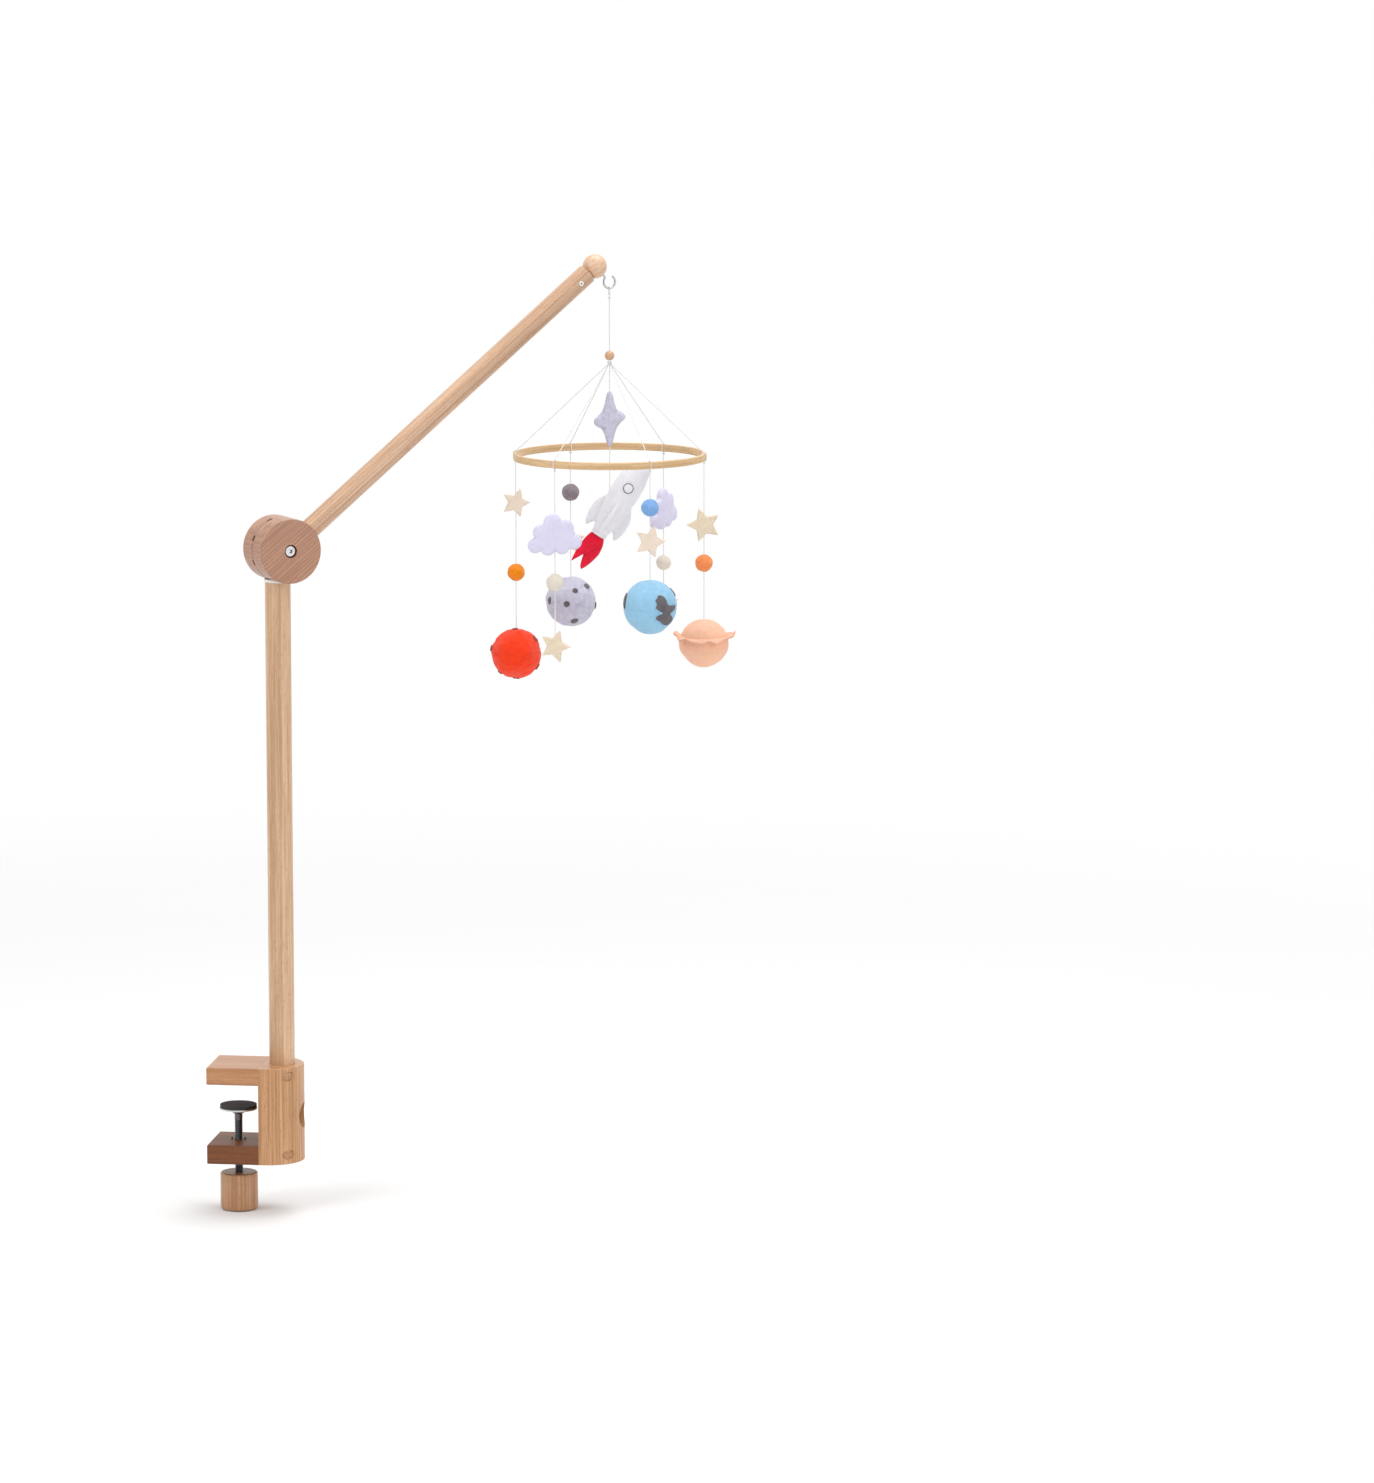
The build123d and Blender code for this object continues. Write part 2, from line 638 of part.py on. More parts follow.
def felt_star(size, point_deg):
    """A flat five-pointed star, with one of its points at the angle given."""
    corners = []
    for i in range(10):
        r = size / 2 if i % 2 == 0 else size / 4
        turn = radians(point_deg) + i * pi / 5
        corners.append((r * cos(turn), r * sin(turn)))
    outline = make_face(Polyline(*corners, close=True))
    return upright(fillet(outline.vertices(), size * 0.04), STAR_THICK)


def felt_ball(diameter):
    """A round felt ball."""
    return Sphere(diameter / 2)


def felt_cloud():
    """A flat cloud: a round middle with scallops along its base, sides and crown."""
    w = CLOUD_W / 2
    h = CLOUD_H / 2
    face = Pos(0, -h * 0.15) * Ellipse(w * 0.74, h * 0.66)
    lobes = [(-0.72, -0.52, 0.28), (-0.26, -0.62, 0.29), (0.26, -0.56, 0.29), (0.71, -0.32, 0.29)]
    lobes += [(-0.5, 0.1, 0.31), (-0.08, 0.56, 0.34), (0.4, 0.34, 0.3)]
    for x, z, r in lobes:
        face += Pos(x * w, z * h) * Circle(r * w)
    return upright(face, CLOUD_THICK)


def saturn_ring():
    """The wavy felt brim round Saturn, a close fit on the ball."""
    rim = []
    for i in range(2 * SATURN_WAVES):
        r = SATURN_BRIM_R if i % 2 == 0 else SATURN_BRIM_R - SATURN_WAVE_DEPTH
        turn = i * pi / SATURN_WAVES
        rim.append((r * cos(turn), r * sin(turn)))
    outline = make_face(Spline(*rim, periodic=True))
    brim = Pos(0, 0, SATURN_BRIM_RISE) * extrude(outline, SATURN_BRIM_T / 2, both=True)
    return brim - Sphere(SATURN_D / 2 + BORE_CLEAR)


def centre_star():
    """A tall four-pointed star."""
    w = CENTRE_STAR_W / 2
    h = CENTRE_STAR_H / 2
    waist = CENTRE_STAR_W * 0.17
    corners = [(0, h), (waist, waist), (w, 0), (waist, -waist)]
    corners += [(-x, -y) for x, y in corners]
    outline = make_face(Polyline(*corners, close=True))
    return upright(fillet(outline.vertices(), 0.9), CENTRE_STAR_T)


def string_of_toys(string_node, index, toys):
    """Write one hanging string, and its toys bored to pass the string.

    Each toy is its node's name, its shape, its drop below the hoop and its turn."""
    turn = radians(FIRST_STRING_DEG - index * 360 / STRING_COUNT)
    x = line_x + string_r * cos(turn)
    y = line_y + string_r * sin(turn)
    top = hoop_low - wrap_gap - STRING_D / 2 - STRING_GAP
    bottom = hoop_z - toys[-1][2]
    bore = disc(x, y, bottom - BORE_CLEAR, top, STRING_D / 2 + BORE_CLEAR)
    for node, shape, drop, facing in toys:
        save(node, Pos(x, y, hoop_z - drop) * Rot(0, 0, facing) * shape - bore)
    string = disc(x, y, bottom, top, STRING_D / 2)
    save(string_node, string + Pos(x, y, top - STRING_KNOT_R) * Sphere(STRING_KNOT_R))


def ring_of_saturn():
    """Saturn's brim at its place on its string."""
    turn = radians(FIRST_STRING_DEG)
    x = line_x + string_r * cos(turn)
    y = line_y + string_r * sin(turn)
    return Pos(x, y, hoop_z - SATURN_DROP) * saturn_ring()


string_of_toys("string_saturn", 0, [
    ("saturn_star", felt_star(SATURN_STAR_SIZE, 180), STAR_F_DROP, FACING_DEG - 6),
    ("saturn_ball", felt_ball(BALL_TOY_D), BALL_F_DROP, 0),
    ("saturn", felt_ball(SATURN_D), SATURN_DROP, 0),
])
save("saturn_ring", ring_of_saturn())
string_of_toys("string_earth", 1, [
    ("earth_ball", felt_ball(BALL_TOY_D), BALL_D_DROP, 0),
    ("earth_star", felt_star(EARTH_STAR_SIZE, 0), STAR_D_DROP, FACING_DEG + 20),
    ("earth", felt_ball(EARTH_D), EARTH_DROP, 0),
])
string_of_toys("string_front_cloud", 2, [
    ("front_cloud", felt_cloud(), CLOUD_B_DROP, FACING_DEG),
    ("front_cloud_ball", felt_ball(BALL_TOY_D), BALL_B_DROP, 0),
    ("front_cloud_star", felt_star(CLOUD_STAR_SIZE, 0), STAR_B_DROP, FACING_DEG - 20),
])
string_of_toys("string_planet", 3, [
    ("planet_star", felt_star(PLANET_STAR_SIZE, 0), STAR_A_DROP, FACING_DEG + 14),
    ("planet_ball", felt_ball(BALL_TOY_D), BALL_A_DROP, 0),
    ("planet", felt_ball(PLANET_D), PLANET_DROP, 0),
])
string_of_toys("string_moon", 4, [
    ("moon_ball", felt_ball(BALL_TOY_D), BALL_C_DROP, 0),
    ("moon_star", felt_star(MOON_STAR_SIZE, 90), STAR_C_DROP, FACING_DEG - 20),
    ("moon", felt_ball(MOON_D), MOON_DROP, 0),
])
string_of_toys("string_back_cloud", 5, [
    ("back_cloud", felt_cloud(), CLOUD_E_DROP, FACING_DEG + 64),
    ("back_cloud_ball", felt_ball(SMALL_BALL_D), BALL_E_DROP, 0),
    ("back_cloud_star", felt_star(CLOUD_STAR_SIZE, 90), STAR_E_DROP, FACING_DEG + 20),
])

# The rocket hangs on the middle string by its flank. Its frame has z along the nose and
# x out of the window.
facing = radians(FACING_DEG)
lean = radians(ROCKET_LEAN_DEG)
side = Vector(cos(facing), sin(facing), 0)
hang_z = hoop_z - ROCKET_DROP
window_at = Vector(line_x, line_y, hang_z - WINDOW_DROP) + side * WINDOW_ASIDE
ROCKET = Plane(
    origin=window_at,
    x_dir=(sin(facing), -cos(facing), 0),
    z_dir=side * cos(lean) + Vector(0, 0, sin(lean)),
)


def at_rocket(shape):
    """Move a shape from the rocket's frame into the part's frame."""
    return ROCKET.location * shape


def rocket_hull():
    """The stuffed hull: a pointed egg, cut flat at its tail."""
    edge = Spline(
        (0, ROCKET_NOSE),
        (ROCKET_R * 0.66, ROCKET_NOSE * 0.8),
        (ROCKET_R * 0.97, ROCKET_NOSE * 0.3),
        (ROCKET_R * 0.96, -ROCKET_TAIL * 0.36),
        (ROCKET_R * 0.76, -ROCKET_TAIL * 0.76),
        (COLLAR_R * 0.95, -ROCKET_TAIL),
    )
    base = Line(edge @ 1, (0, -ROCKET_TAIL))
    axis = Line(base @ 1, edge @ 0)
    return revolve(Plane.XZ * make_face(edge + base + axis), Axis.Z)


window_x = ROCKET_R - WINDOW_T * 0.7
window_hole = rod((window_x, 0, 0), (ROCKET_R + 5, 0, 0), WINDOW_D / 2 + BORE_CLEAR)
string_hole = disc(line_x, line_y, hang_z - ROCKET_STITCH, hang_z + 20, STRING_D / 2 + BORE_CLEAR)


def rocket_window():
    """A round felt porthole let into the hull."""
    return at_rocket(rod((window_x, 0, 0), (window_x + WINDOW_T, 0, 0), WINDOW_D / 2))


def rocket_fins():
    """Four flat felt fins round the tail."""
    root = ROCKET_R * 0.5
    shoulder = (FIN_REACH, -FIN_LOW + 2.5 * FIN_TIP)
    tip = (FIN_REACH - FIN_TIP / 2, -FIN_LOW)
    corners = [(root, -FIN_TOP), shoulder, tip, (root, -FIN_LOW + FIN_TIP)]
    outline = make_face(Polyline(*corners, close=True))
    fin = Plane.YZ * extrude(outline, FIN_T / 2, both=True)
    hull = offset(rocket_hull(), FIN_CLEAR)
    fins = [Rot(0, 0, turn) * fin - hull for turn in (0, 90, 180, 270)]
    return Compound(children=[at_rocket(f) for f in fins])


def rocket_flame():
    """The felt flame: two lobes of uneven length."""
    top = -ROCKET_TAIL - COLLAR_L
    w = FLAME_W / 2
    low = top - FLAME_L
    corners = [
        (-COLLAR_R * 0.8, top),
        (-w, top - FLAME_L * 0.4),
        (-w * 0.55, low),
        (-w * 0.05, top - FLAME_L * 0.62),
        (w * 0.5, low + FLAME_L * 0.1),
        (w, top - FLAME_L * 0.38),
        (COLLAR_R * 0.8, top),
    ]
    outline = make_face(Polyline(*corners, close=True))
    return at_rocket(Plane.YZ * extrude(fillet(outline.vertices(), 1.4), FLAME_T / 2, both=True))


star_at = Pos(line_x, line_y, hoop_z + CENTRE_STAR_RISE)
middle_star = star_at * Rot(0, 0, FACING_DEG + CENTRE_STAR_TURN) * centre_star()
middle_bore = disc(line_x, line_y, hang_z, gather_z, STRING_D / 2 + BORE_CLEAR)
stitch_z = hang_z - ROCKET_STITCH + BORE_CLEAR
string_top = gather_z - KNOT_DROP - STRING_GAP
save("centre_star", middle_star - middle_bore)
save("string_rocket", disc(line_x, line_y, stitch_z, string_top, STRING_D / 2))
save("rocket_hull", at_rocket(rocket_hull() - window_hole) - string_hole)
save("rocket_window", rocket_window())
save("rocket_fins", rocket_fins())
save("rocket_collar", at_rocket(disc(0, 0, -ROCKET_TAIL - COLLAR_L, -ROCKET_TAIL, COLLAR_R)))
save("rocket_flame", rocket_flame())
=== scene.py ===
import bpy
import json
from math import atan2, ceil, copysign, cos, exp, hypot, pi, radians, sin, sqrt
import numpy as np
from mathutils import Matrix, Vector, noise
from mathutils.geometry import delaunay_2d_cdt


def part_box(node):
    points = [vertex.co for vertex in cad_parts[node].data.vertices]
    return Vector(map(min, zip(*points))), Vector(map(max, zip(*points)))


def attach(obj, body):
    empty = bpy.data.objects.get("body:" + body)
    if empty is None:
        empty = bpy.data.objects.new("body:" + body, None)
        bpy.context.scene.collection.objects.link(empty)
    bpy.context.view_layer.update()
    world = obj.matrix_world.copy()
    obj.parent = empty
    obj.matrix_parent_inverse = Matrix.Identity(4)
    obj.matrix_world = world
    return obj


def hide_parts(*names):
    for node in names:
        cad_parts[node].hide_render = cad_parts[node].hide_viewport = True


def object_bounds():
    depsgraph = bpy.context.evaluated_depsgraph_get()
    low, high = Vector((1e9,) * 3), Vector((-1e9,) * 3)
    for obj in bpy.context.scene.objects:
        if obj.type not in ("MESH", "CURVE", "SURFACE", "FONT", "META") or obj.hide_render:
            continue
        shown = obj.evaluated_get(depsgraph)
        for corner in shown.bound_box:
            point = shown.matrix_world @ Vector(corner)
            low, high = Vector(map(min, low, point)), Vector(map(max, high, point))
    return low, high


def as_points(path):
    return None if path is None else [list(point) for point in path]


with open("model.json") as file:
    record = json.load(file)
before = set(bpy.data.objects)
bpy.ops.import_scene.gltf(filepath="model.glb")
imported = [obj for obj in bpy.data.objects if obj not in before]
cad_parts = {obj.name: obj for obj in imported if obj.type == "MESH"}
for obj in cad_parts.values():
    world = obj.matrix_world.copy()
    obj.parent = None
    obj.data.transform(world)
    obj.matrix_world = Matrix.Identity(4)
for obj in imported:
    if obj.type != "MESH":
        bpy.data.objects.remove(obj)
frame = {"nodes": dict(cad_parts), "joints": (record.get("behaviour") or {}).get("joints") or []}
cad_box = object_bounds()

# ------------------------------ clamp woodwork
# The clamp is solid beech: a half-round body with its grain upright, and two jaw boards
# with their grain along the jaws, screwed on through the body. It is sanded and oiled, and
# plugs cover the screw heads. The lower jaw is painted darker, as painted shade that stands
# for the shadow of the table it grips from below.
JAW_GRAIN = Vector((1, 0, 0))
UPRIGHT = Vector((0, 0, 1))


class Wire:
    """One output of a finish's nodes. Arithmetic on it adds Math nodes."""

    def __init__(self, finish, socket):
        self.finish = finish
        self.socket = socket

    def maths(self, operation, *values):
        return self.finish.add("Math", {"operation": operation}, dict(enumerate(values)))

    def __add__(self, other):
        return self.maths("ADD", self, other)

    def __sub__(self, other):
        return self.maths("SUBTRACT", self, other)

    def __rsub__(self, other):
        return self.maths("SUBTRACT", other, self)

    def __mul__(self, other):
        return self.maths("MULTIPLY", self, other)

    __radd__ = __add__
    __rmul__ = __mul__

    def __abs__(self):
        return self.maths("ABSOLUTE", self)

    def part(self, low, high):
        """0 below low and 1 above high, with a smooth step between."""
        settings = {"interpolation_type": "SMOOTHSTEP"}
        return self.finish.add("MapRange", settings, {0: self, 1: low, 2: high})


class Finish:
    """A material, its shader and the nodes that feed it."""

    def __init__(self, name, roughness, **constants):
        self.material = bpy.data.materials.new(name)
        self.material.use_nodes = True
        self.nodes = self.material.node_tree.nodes
        self.links = self.material.node_tree.links
        self.shader = self.nodes["Principled BSDF"]
        self.feed(Roughness=roughness)
        for socket, value in constants.items():
            self.shader.inputs[socket.replace("_", " ")].default_value = value

    def add(self, kind, settings, inputs, output=0):
        node = self.nodes.new("ShaderNode" + kind)
        for key, value in settings.items():
            setattr(node, key, value)
        for key, value in inputs.items():
            self.join(value, node.inputs[key])
        return Wire(self, node.outputs[output])

    def join(self, value, socket):
        if isinstance(value, Wire):
            self.links.new(value.socket, socket)
        elif isinstance(value, tuple) and len(value) == 3 and socket.type == "RGBA":
            socket.default_value = (*value, 1)
        else:
            socket.default_value = value

    def feed(self, **sockets):
        for socket, value in sockets.items():
            self.join(value, self.shader.inputs[socket.replace("_", " ")])

    def blend(self, amount, first, second, way="MIX"):
        settings = {"data_type": "RGBA", "blend_type": way}
        return self.add("Mix", settings, {0: amount, 6: first, 7: second}, 2)

    def bump(self, height, strength, distance):
        inputs = {"Strength": strength, "Distance": distance, "Height": height}
        self.feed(Normal=self.add("Bump", {}, inputs))

    def place(self, origin=(0, 0, 0), turn=(0, 0, 0)):
        """The surface's own coordinates, in metres, moved to an origin and turned."""
        here = self.add("TexCoord", {}, {}, "Object")
        inputs = {"Vector": here, "Location": origin, "Rotation": turn}
        return self.add("Mapping", {"vector_type": "TEXTURE"}, inputs)

    def stretched(self, place, stretch):
        """Coordinates on which a pattern comes out longer where stretch is below 1."""
        return self.add("VectorMath", {"operation": "MULTIPLY"}, {0: place, 1: stretch})

    def noise(self, place, scale, detail=3.0, twist=0.0, rough=0.55):
        inputs = {"Vector": place, "Scale": scale, "Detail": detail}
        inputs.update({"Roughness": rough, "Distortion": twist})
        return self.add("TexNoise", {}, inputs)


# How fine each mark of the grain is across the stem, and its share of that along the stem.
FIBRE_SCALE, FIBRE_DRAWN = 1500, 0.035
STREAK_SCALE, STREAK_DRAWN = 360, 0.03
TONE_SCALE, TONE_DRAWN = 70, 0.06
FLECK_SCALE, FLECK_DRAWN = 1100, 0.16
RING_SCALE, RING_DRAWN = 95.0, 0.05
PORE_DEPTH = 0.00012


def grained(finish, place, tones, ring=1.0):
    """Paint beech on coordinates that have the grain along their z: fibres and streaks, growth
    rings as soft long bands, broad changes of tone and the short dark flecks of the rays."""

    def drawn(share):
        return finish.stretched(place, (1, 1, share))

    fibre = finish.noise(drawn(FIBRE_DRAWN), FIBRE_SCALE, 4)
    streak = finish.noise(drawn(STREAK_DRAWN), STREAK_SCALE, 3, 0.3)
    tone = finish.noise(drawn(TONE_DRAWN), TONE_SCALE, 2, 0.4)
    settings = {"wave_type": "RINGS", "rings_direction": "Z", "wave_profile": "SAW"}
    inputs = {"Vector": drawn(RING_DRAWN), "Scale": RING_SCALE, "Distortion": 5.0,
              "Detail": 3.0, "Detail Scale": 0.6, "Detail Roughness": 0.55}
    rings = finish.add("TexWave", settings, inputs, "Fac")
    fleck = finish.noise(drawn(FLECK_DRAWN), FLECK_SCALE, 2).part(0.6, 0.72)
    depth = fibre * 0.35 + streak * 0.6 + tone * 0.5 + rings * (0.16 * ring) + fleck * 0.25 - 0.40
    colour = finish.blend(depth.part(0.16, 0.66), *tones)
    finish.feed(Base_Color=colour, Roughness=fibre * 0.2 + 0.42)
    finish.bump(fibre * 0.5 - fleck * 0.6 - rings * 0.3, 0.25, PORE_DEPTH)
    return finish


def beech(name, along, pith, tones, ring=1.0, oil=0.5):
    """Beech cut with its grain along a direction, and its pith through a point."""
    finish = Finish(name, 0.5, Specular_IOR_Level=0.45, Coat_Weight=oil, Coat_Roughness=0.22)
    turn = Vector(along).to_track_quat("Z", "Y").to_euler()
    return grained(finish, finish.place(tuple(pith), tuple(turn)), tones, ring)


def dress(finish, *nodes):
    """Give CAD nodes their finish."""
    for node in nodes:
        materials = frame["nodes"][node].data.materials
        materials.clear()
        materials.append(finish.material)


def middle(node):
    low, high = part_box(node)
    return (low + high) / 2


def radius_of(node):
    """Half the width of a round node."""
    low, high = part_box(node)
    return (high.x - low.x) / 2


CLAMP_TONES = (0.60, 0.33, 0.155), (0.37, 0.165, 0.058)
JAW_TONES = (0.52, 0.25, 0.105), (0.34, 0.14, 0.048)
# The lower jaw's tones are painted shade: darker to stand for the table's shadow on it.
LOW_JAW_SHADED_TONES = (0.20, 0.060, 0.009), (0.10, 0.026, 0.003)
dress(beech("clamp_beech", UPRIGHT, (0.16, 0.09, 0), CLAMP_TONES), "clamp_body")
dress(beech("top_jaw_beech", JAW_GRAIN, (0, 0.06, 0.05), JAW_TONES), "top_jaw")
LOW_JAW_OIL = 0.1
low_jaw_shaded_beech = beech("low_jaw_shaded_beech", JAW_GRAIN, (0, 0.05, -0.02), LOW_JAW_SHADED_TONES, oil=LOW_JAW_OIL)
dress(low_jaw_shaded_beech, "bottom_jaw")
dress(beech("plug_beech", JAW_GRAIN, (0.06, 0.1, 0), CLAMP_TONES), "screw_plugs")

# ------------------------------ clamp ironwork
# Zinc-plated wood screws and tee nut, and the steel disc with its domed hub. The clamp
# screw is a blackened M8 rod with a rolled right-hand thread and a plain end in the hub.
THREAD_R = 0.004
THREAD_ROOT_R = 0.00335
THREAD_PITCH = 0.00125
THREAD_SIDES = 28
THREAD_STEPS = 8
CREST_SLOPE = 2.2
CREST_START = 0.5
PLAIN_END = 0.009
PLAIN_R = 0.0039
SCRATCH_SCALE = 420
SKIN_SCALE = 2600
SKIN_DEPTH = 0.00004


def metal(name, colour, roughness, wear):
    """Plated steel: nearly even, with faint rubbed marks that change its gloss."""
    finish = Finish(name, roughness, Metallic=1.0)
    place = finish.place()
    marks = finish.noise(place, SCRATCH_SCALE, 5, 0.6, 0.7)
    dull = tuple(c * 0.72 for c in colour)
    finish.feed(Base_Color=finish.blend(marks.part(0.4, 0.75), colour, dull))
    finish.feed(Roughness=marks * wear + (roughness - wear / 2))
    finish.bump(finish.noise(place, SKIN_SCALE, 2), 0.08, SKIN_DEPTH)
    return finish


def piece(name, points, faces, finish, place=None):
    """A new mesh object from points and faces, in metres."""
    mesh = bpy.data.meshes.new(name)
    mesh.from_pydata([tuple(p) for p in points], [], faces)
    mesh.polygons.foreach_set("use_smooth", [True] * len(mesh.polygons))
    mesh.materials.append(finish.material)
    thing = bpy.data.objects.new(name, mesh)
    bpy.context.scene.collection.objects.link(thing)
    if place is not None:
        thing.matrix_world = place
    return thing


def tube_faces(rings, sides, closed=True):
    """The quads of a tube of rings of points, with a fan of one face on each end."""
    faces = [
        (i * sides + j, i * sides + (j + 1) % sides,
         (i + 1) * sides + (j + 1) % sides, (i + 1) * sides + j)
        for i in range(rings - 1)
        for j in range(sides)
    ]
    if closed:
        faces.append(tuple(reversed(range(sides))))
        faces.append(tuple(range((rings - 1) * sides, rings * sides)))
    return faces


def turns(count):
    """The angles of a full turn cut into equal parts."""
    return [2 * pi * i / count for i in range(count)]


def screw_thread(low, high):
    """An upright right-hand thread, with its plain end on top."""
    steps = int((high - low) / THREAD_PITCH * THREAD_STEPS)
    points = []
    for i in range(steps + 1):
        z = low + (high - low) * i / steps
        for j, turn in enumerate(turns(THREAD_SIDES)):
            phase = (z / THREAD_PITCH - j / THREAD_SIDES) % 1.0
            crest = max(0.0, min(1.0, CREST_SLOPE * abs(2 * phase - 1) - CREST_START))
            r = THREAD_ROOT_R + (THREAD_R - THREAD_ROOT_R) * crest
            if z > high - PLAIN_END:
                r = PLAIN_R
            points.append((r * cos(turn), r * sin(turn), z))
    return points, tube_faces(steps + 1, THREAD_SIDES)


def fitted(thing, body, slot, *nodes):
    """Hang a piece on its body's empty and hide the CAD nodes that it stands for. The slot is not used.
    """
    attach(thing, body)
    if nodes:
        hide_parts(*nodes)
    return thing


zinc = metal("zinc_plate", (0.62, 0.62, 0.60), 0.34, 0.16)
black_steel = metal("blackened_steel", (0.13, 0.13, 0.14), 0.33, 0.2)
dress(zinc, "jaw_screws", "pressure_disc", "disc_hub")
dress(black_steel, "tee_nut")
low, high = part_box("clamp_screw")
thread = piece("clamp_screw_thread", *screw_thread(low.z, high.z), black_steel)
fitted(thread, "screw", "zinc_steel", "clamp_screw")

# The tee nut's two prongs are bent through the jaw and show beside the screw, as dark nubs.
PRONG = (0.0016, 0.0022, 0.0030)
PRONG_OUT = 0.0066
PRONG_BACK = -0.0005
PRONG_SUNK = 0.0004
PRONG_RINGS, PRONG_SIDES = 12, 20
PRONG_ROUND = 0.5


def direction(turn, lift):
    """The unit direction at an angle about z and a lift from the level."""
    return (cos(lift) * cos(turn), cos(lift) * sin(turn), sin(lift))


def prong(centre):
    """A small block whose corners are rounded."""
    points = []
    for i in range(PRONG_RINGS):
        lift = pi * (i + 0.5) / PRONG_RINGS - pi / 2
        for turn in turns(PRONG_SIDES):
            reach = [copysign(abs(v) ** PRONG_ROUND, v) for v in direction(turn, lift)]
            points.append([c + 0.5 * s * v for c, s, v in zip(centre, PRONG, reach)])
    return points, tube_faces(PRONG_RINGS, PRONG_SIDES)


def joined(parts):
    """Several lots of points and faces as one."""
    points, faces = [], []
    for some_points, some_faces in parts:
        start = len(points)
        points += list(some_points)
        faces += [tuple(v + start for v in face) for face in some_faces]
    return points, faces


jaw_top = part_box("bottom_jaw")[1].z
prong_z = jaw_top + PRONG[2] / 2 - PRONG_SUNK
prongs = [prong((side * PRONG_OUT, PRONG_BACK, prong_z)) for side in (-1, 1)]
fitted(piece("tee_nut_prongs", *joined(prongs), black_steel), "clamp", "zinc_steel")

# ------------------------------ pad and knob
# A ribbed black rubber face glued on the steel disc, and a turned beech knob on the screw.
rubber = Finish("black_rubber_face", 0.75, Specular_IOR_Level=0.35)
grit = rubber.noise(rubber.place(), 3200, 3)
rubber.feed(Base_Color=rubber.blend(grit, (0.018, 0.018, 0.02), (0.045, 0.045, 0.048)))
rubber.bump(grit, 0.35, 0.0001)
dress(rubber, "disc_pad")
KNOB_TONES = (0.52, 0.285, 0.135), (0.31, 0.14, 0.055)
dress(beech("knob_beech", UPRIGHT, (0.03, 0.035, 0), KNOB_TONES), "clamp_knob")

# ------------------------------ post
# A 25 mm beech dowel that drops into the clamp, with a brass insert in its upper end, a
# plated stud and a white nylon washer under the knuckle.
POST_TONES = (0.71, 0.475, 0.295), (0.44, 0.245, 0.12)
post_pith = middle("post") + Vector((0.02, 0.03, 0))
dress(beech("post_beech", UPRIGHT, post_pith, POST_TONES), "post")
brass = metal("brass", (0.70, 0.52, 0.22), 0.35, 0.12)
dress(brass, "post_insert", "pivot_insert")
dress(zinc, "swivel_stud")


# The nylon has a faint orange-peel skin and a soft gloss.
nylon = Finish("white_nylon", 0.38, Specular_IOR_Level=0.45)
peel = nylon.noise(nylon.place(), 900, 2)
nylon.feed(Base_Color=nylon.blend(peel, (0.8184, 0.8091, 0.7812), (0.88, 0.87, 0.84)))
nylon.feed(Roughness=peel * 0.12 + 0.32)
nylon.bump(peel, 0.1, 0.0001)
dress(nylon, "swivel_washer", "arm_eyelet")

# ------------------------------ knuckle
# Two turned beech discs, browner than the rest, with their grain on the slant. A bright
# socket-head bolt in a counterbore draws them together.
KNUCKLE_TONES = (0.47, 0.235, 0.135), (0.29, 0.125, 0.065)
joints = {joint["name"]: joint for joint in frame["joints"]}
tilt_axis = Vector(joints["arm_tilt"]["axis"]).normalized()
arm_heading = UPRIGHT.cross(tilt_axis).normalized()
disc_grain = (arm_heading * 0.8 + UPRIGHT * 0.62).normalized()
for node, pith_up in (("rear_disc", 0.075), ("front_disc", 0.079)):
    pith = middle(node) + UPRIGHT * pith_up - arm_heading * 0.03
    dress(beech(node + "_beech", disc_grain, pith, KNUCKLE_TONES, 1.3), node)
bright = metal("bright_nickel", (0.40, 0.40, 0.41), 0.30, 0.08)
dress(bright, "pivot_bolt")

# ------------------------------ arm
# A 20 mm beech dowel with a ball on its end, and a nickel-plated cup hook in the ball.
ARM_TONES = (0.64, 0.42, 0.275), (0.42, 0.235, 0.13)
BALL_TONES = (0.74, 0.50, 0.34), (0.56, 0.34, 0.20)
arm_axis = (middle("end_ball") - Vector(joints["arm_tilt"]["pos_m"])).normalized()
arm_axis = (arm_axis - tilt_axis * arm_axis.dot(tilt_axis)).normalized()
arm_pith = middle("arm_rod") + tilt_axis * 0.018 - UPRIGHT * 0.02
dress(beech("arm_beech", arm_axis, arm_pith, ARM_TONES, 1.2), "arm_rod")
ball_pith = middle("end_ball") + Vector((0.03, 0.02, 0))
dress(beech("ball_beech", arm_axis, ball_pith, BALL_TONES), "end_ball")
dress(bright, "cup_hook")

# ------------------------------ bead and hoop
# A small turned bead above the gather, and a hoop bent from one birch strip, whose grain
# runs round it. The strip's ends are scarfed and glued.
HOOP_TONES = (0.76, 0.54, 0.31), (0.52, 0.32, 0.15)
BEAD_TONES = (0.66, 0.40, 0.23), (0.48, 0.26, 0.13)
hoop_middle = middle("hoop")
hoop_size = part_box("hoop")[1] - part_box("hoop")[0]
hoop_finish = Finish("hoop_birch", 0.5, Specular_IOR_Level=0.35, Coat_Weight=0.05)
parts = hoop_finish.add("SeparateXYZ", {}, {0: hoop_finish.place(tuple(hoop_middle))})
across, deep, up = (Wire(hoop_finish, socket) for socket in parts.socket.node.outputs)
round_the_hoop = deep.maths("ARCTAN2", deep, across) * (hoop_size.x / 2)
out = deep.maths("SQRT", across * across + deep * deep)
strip = hoop_finish.add("CombineXYZ", {}, {0: up, 1: out, 2: round_the_hoop})
dress(grained(hoop_finish, strip, HOOP_TONES, 0.5), "hoop")
bead_pith = middle("bead") + Vector((0.02, 0.01, 0))
dress(beech("bead_beech", UPRIGHT, bead_pith, BEAD_TONES), "bead")

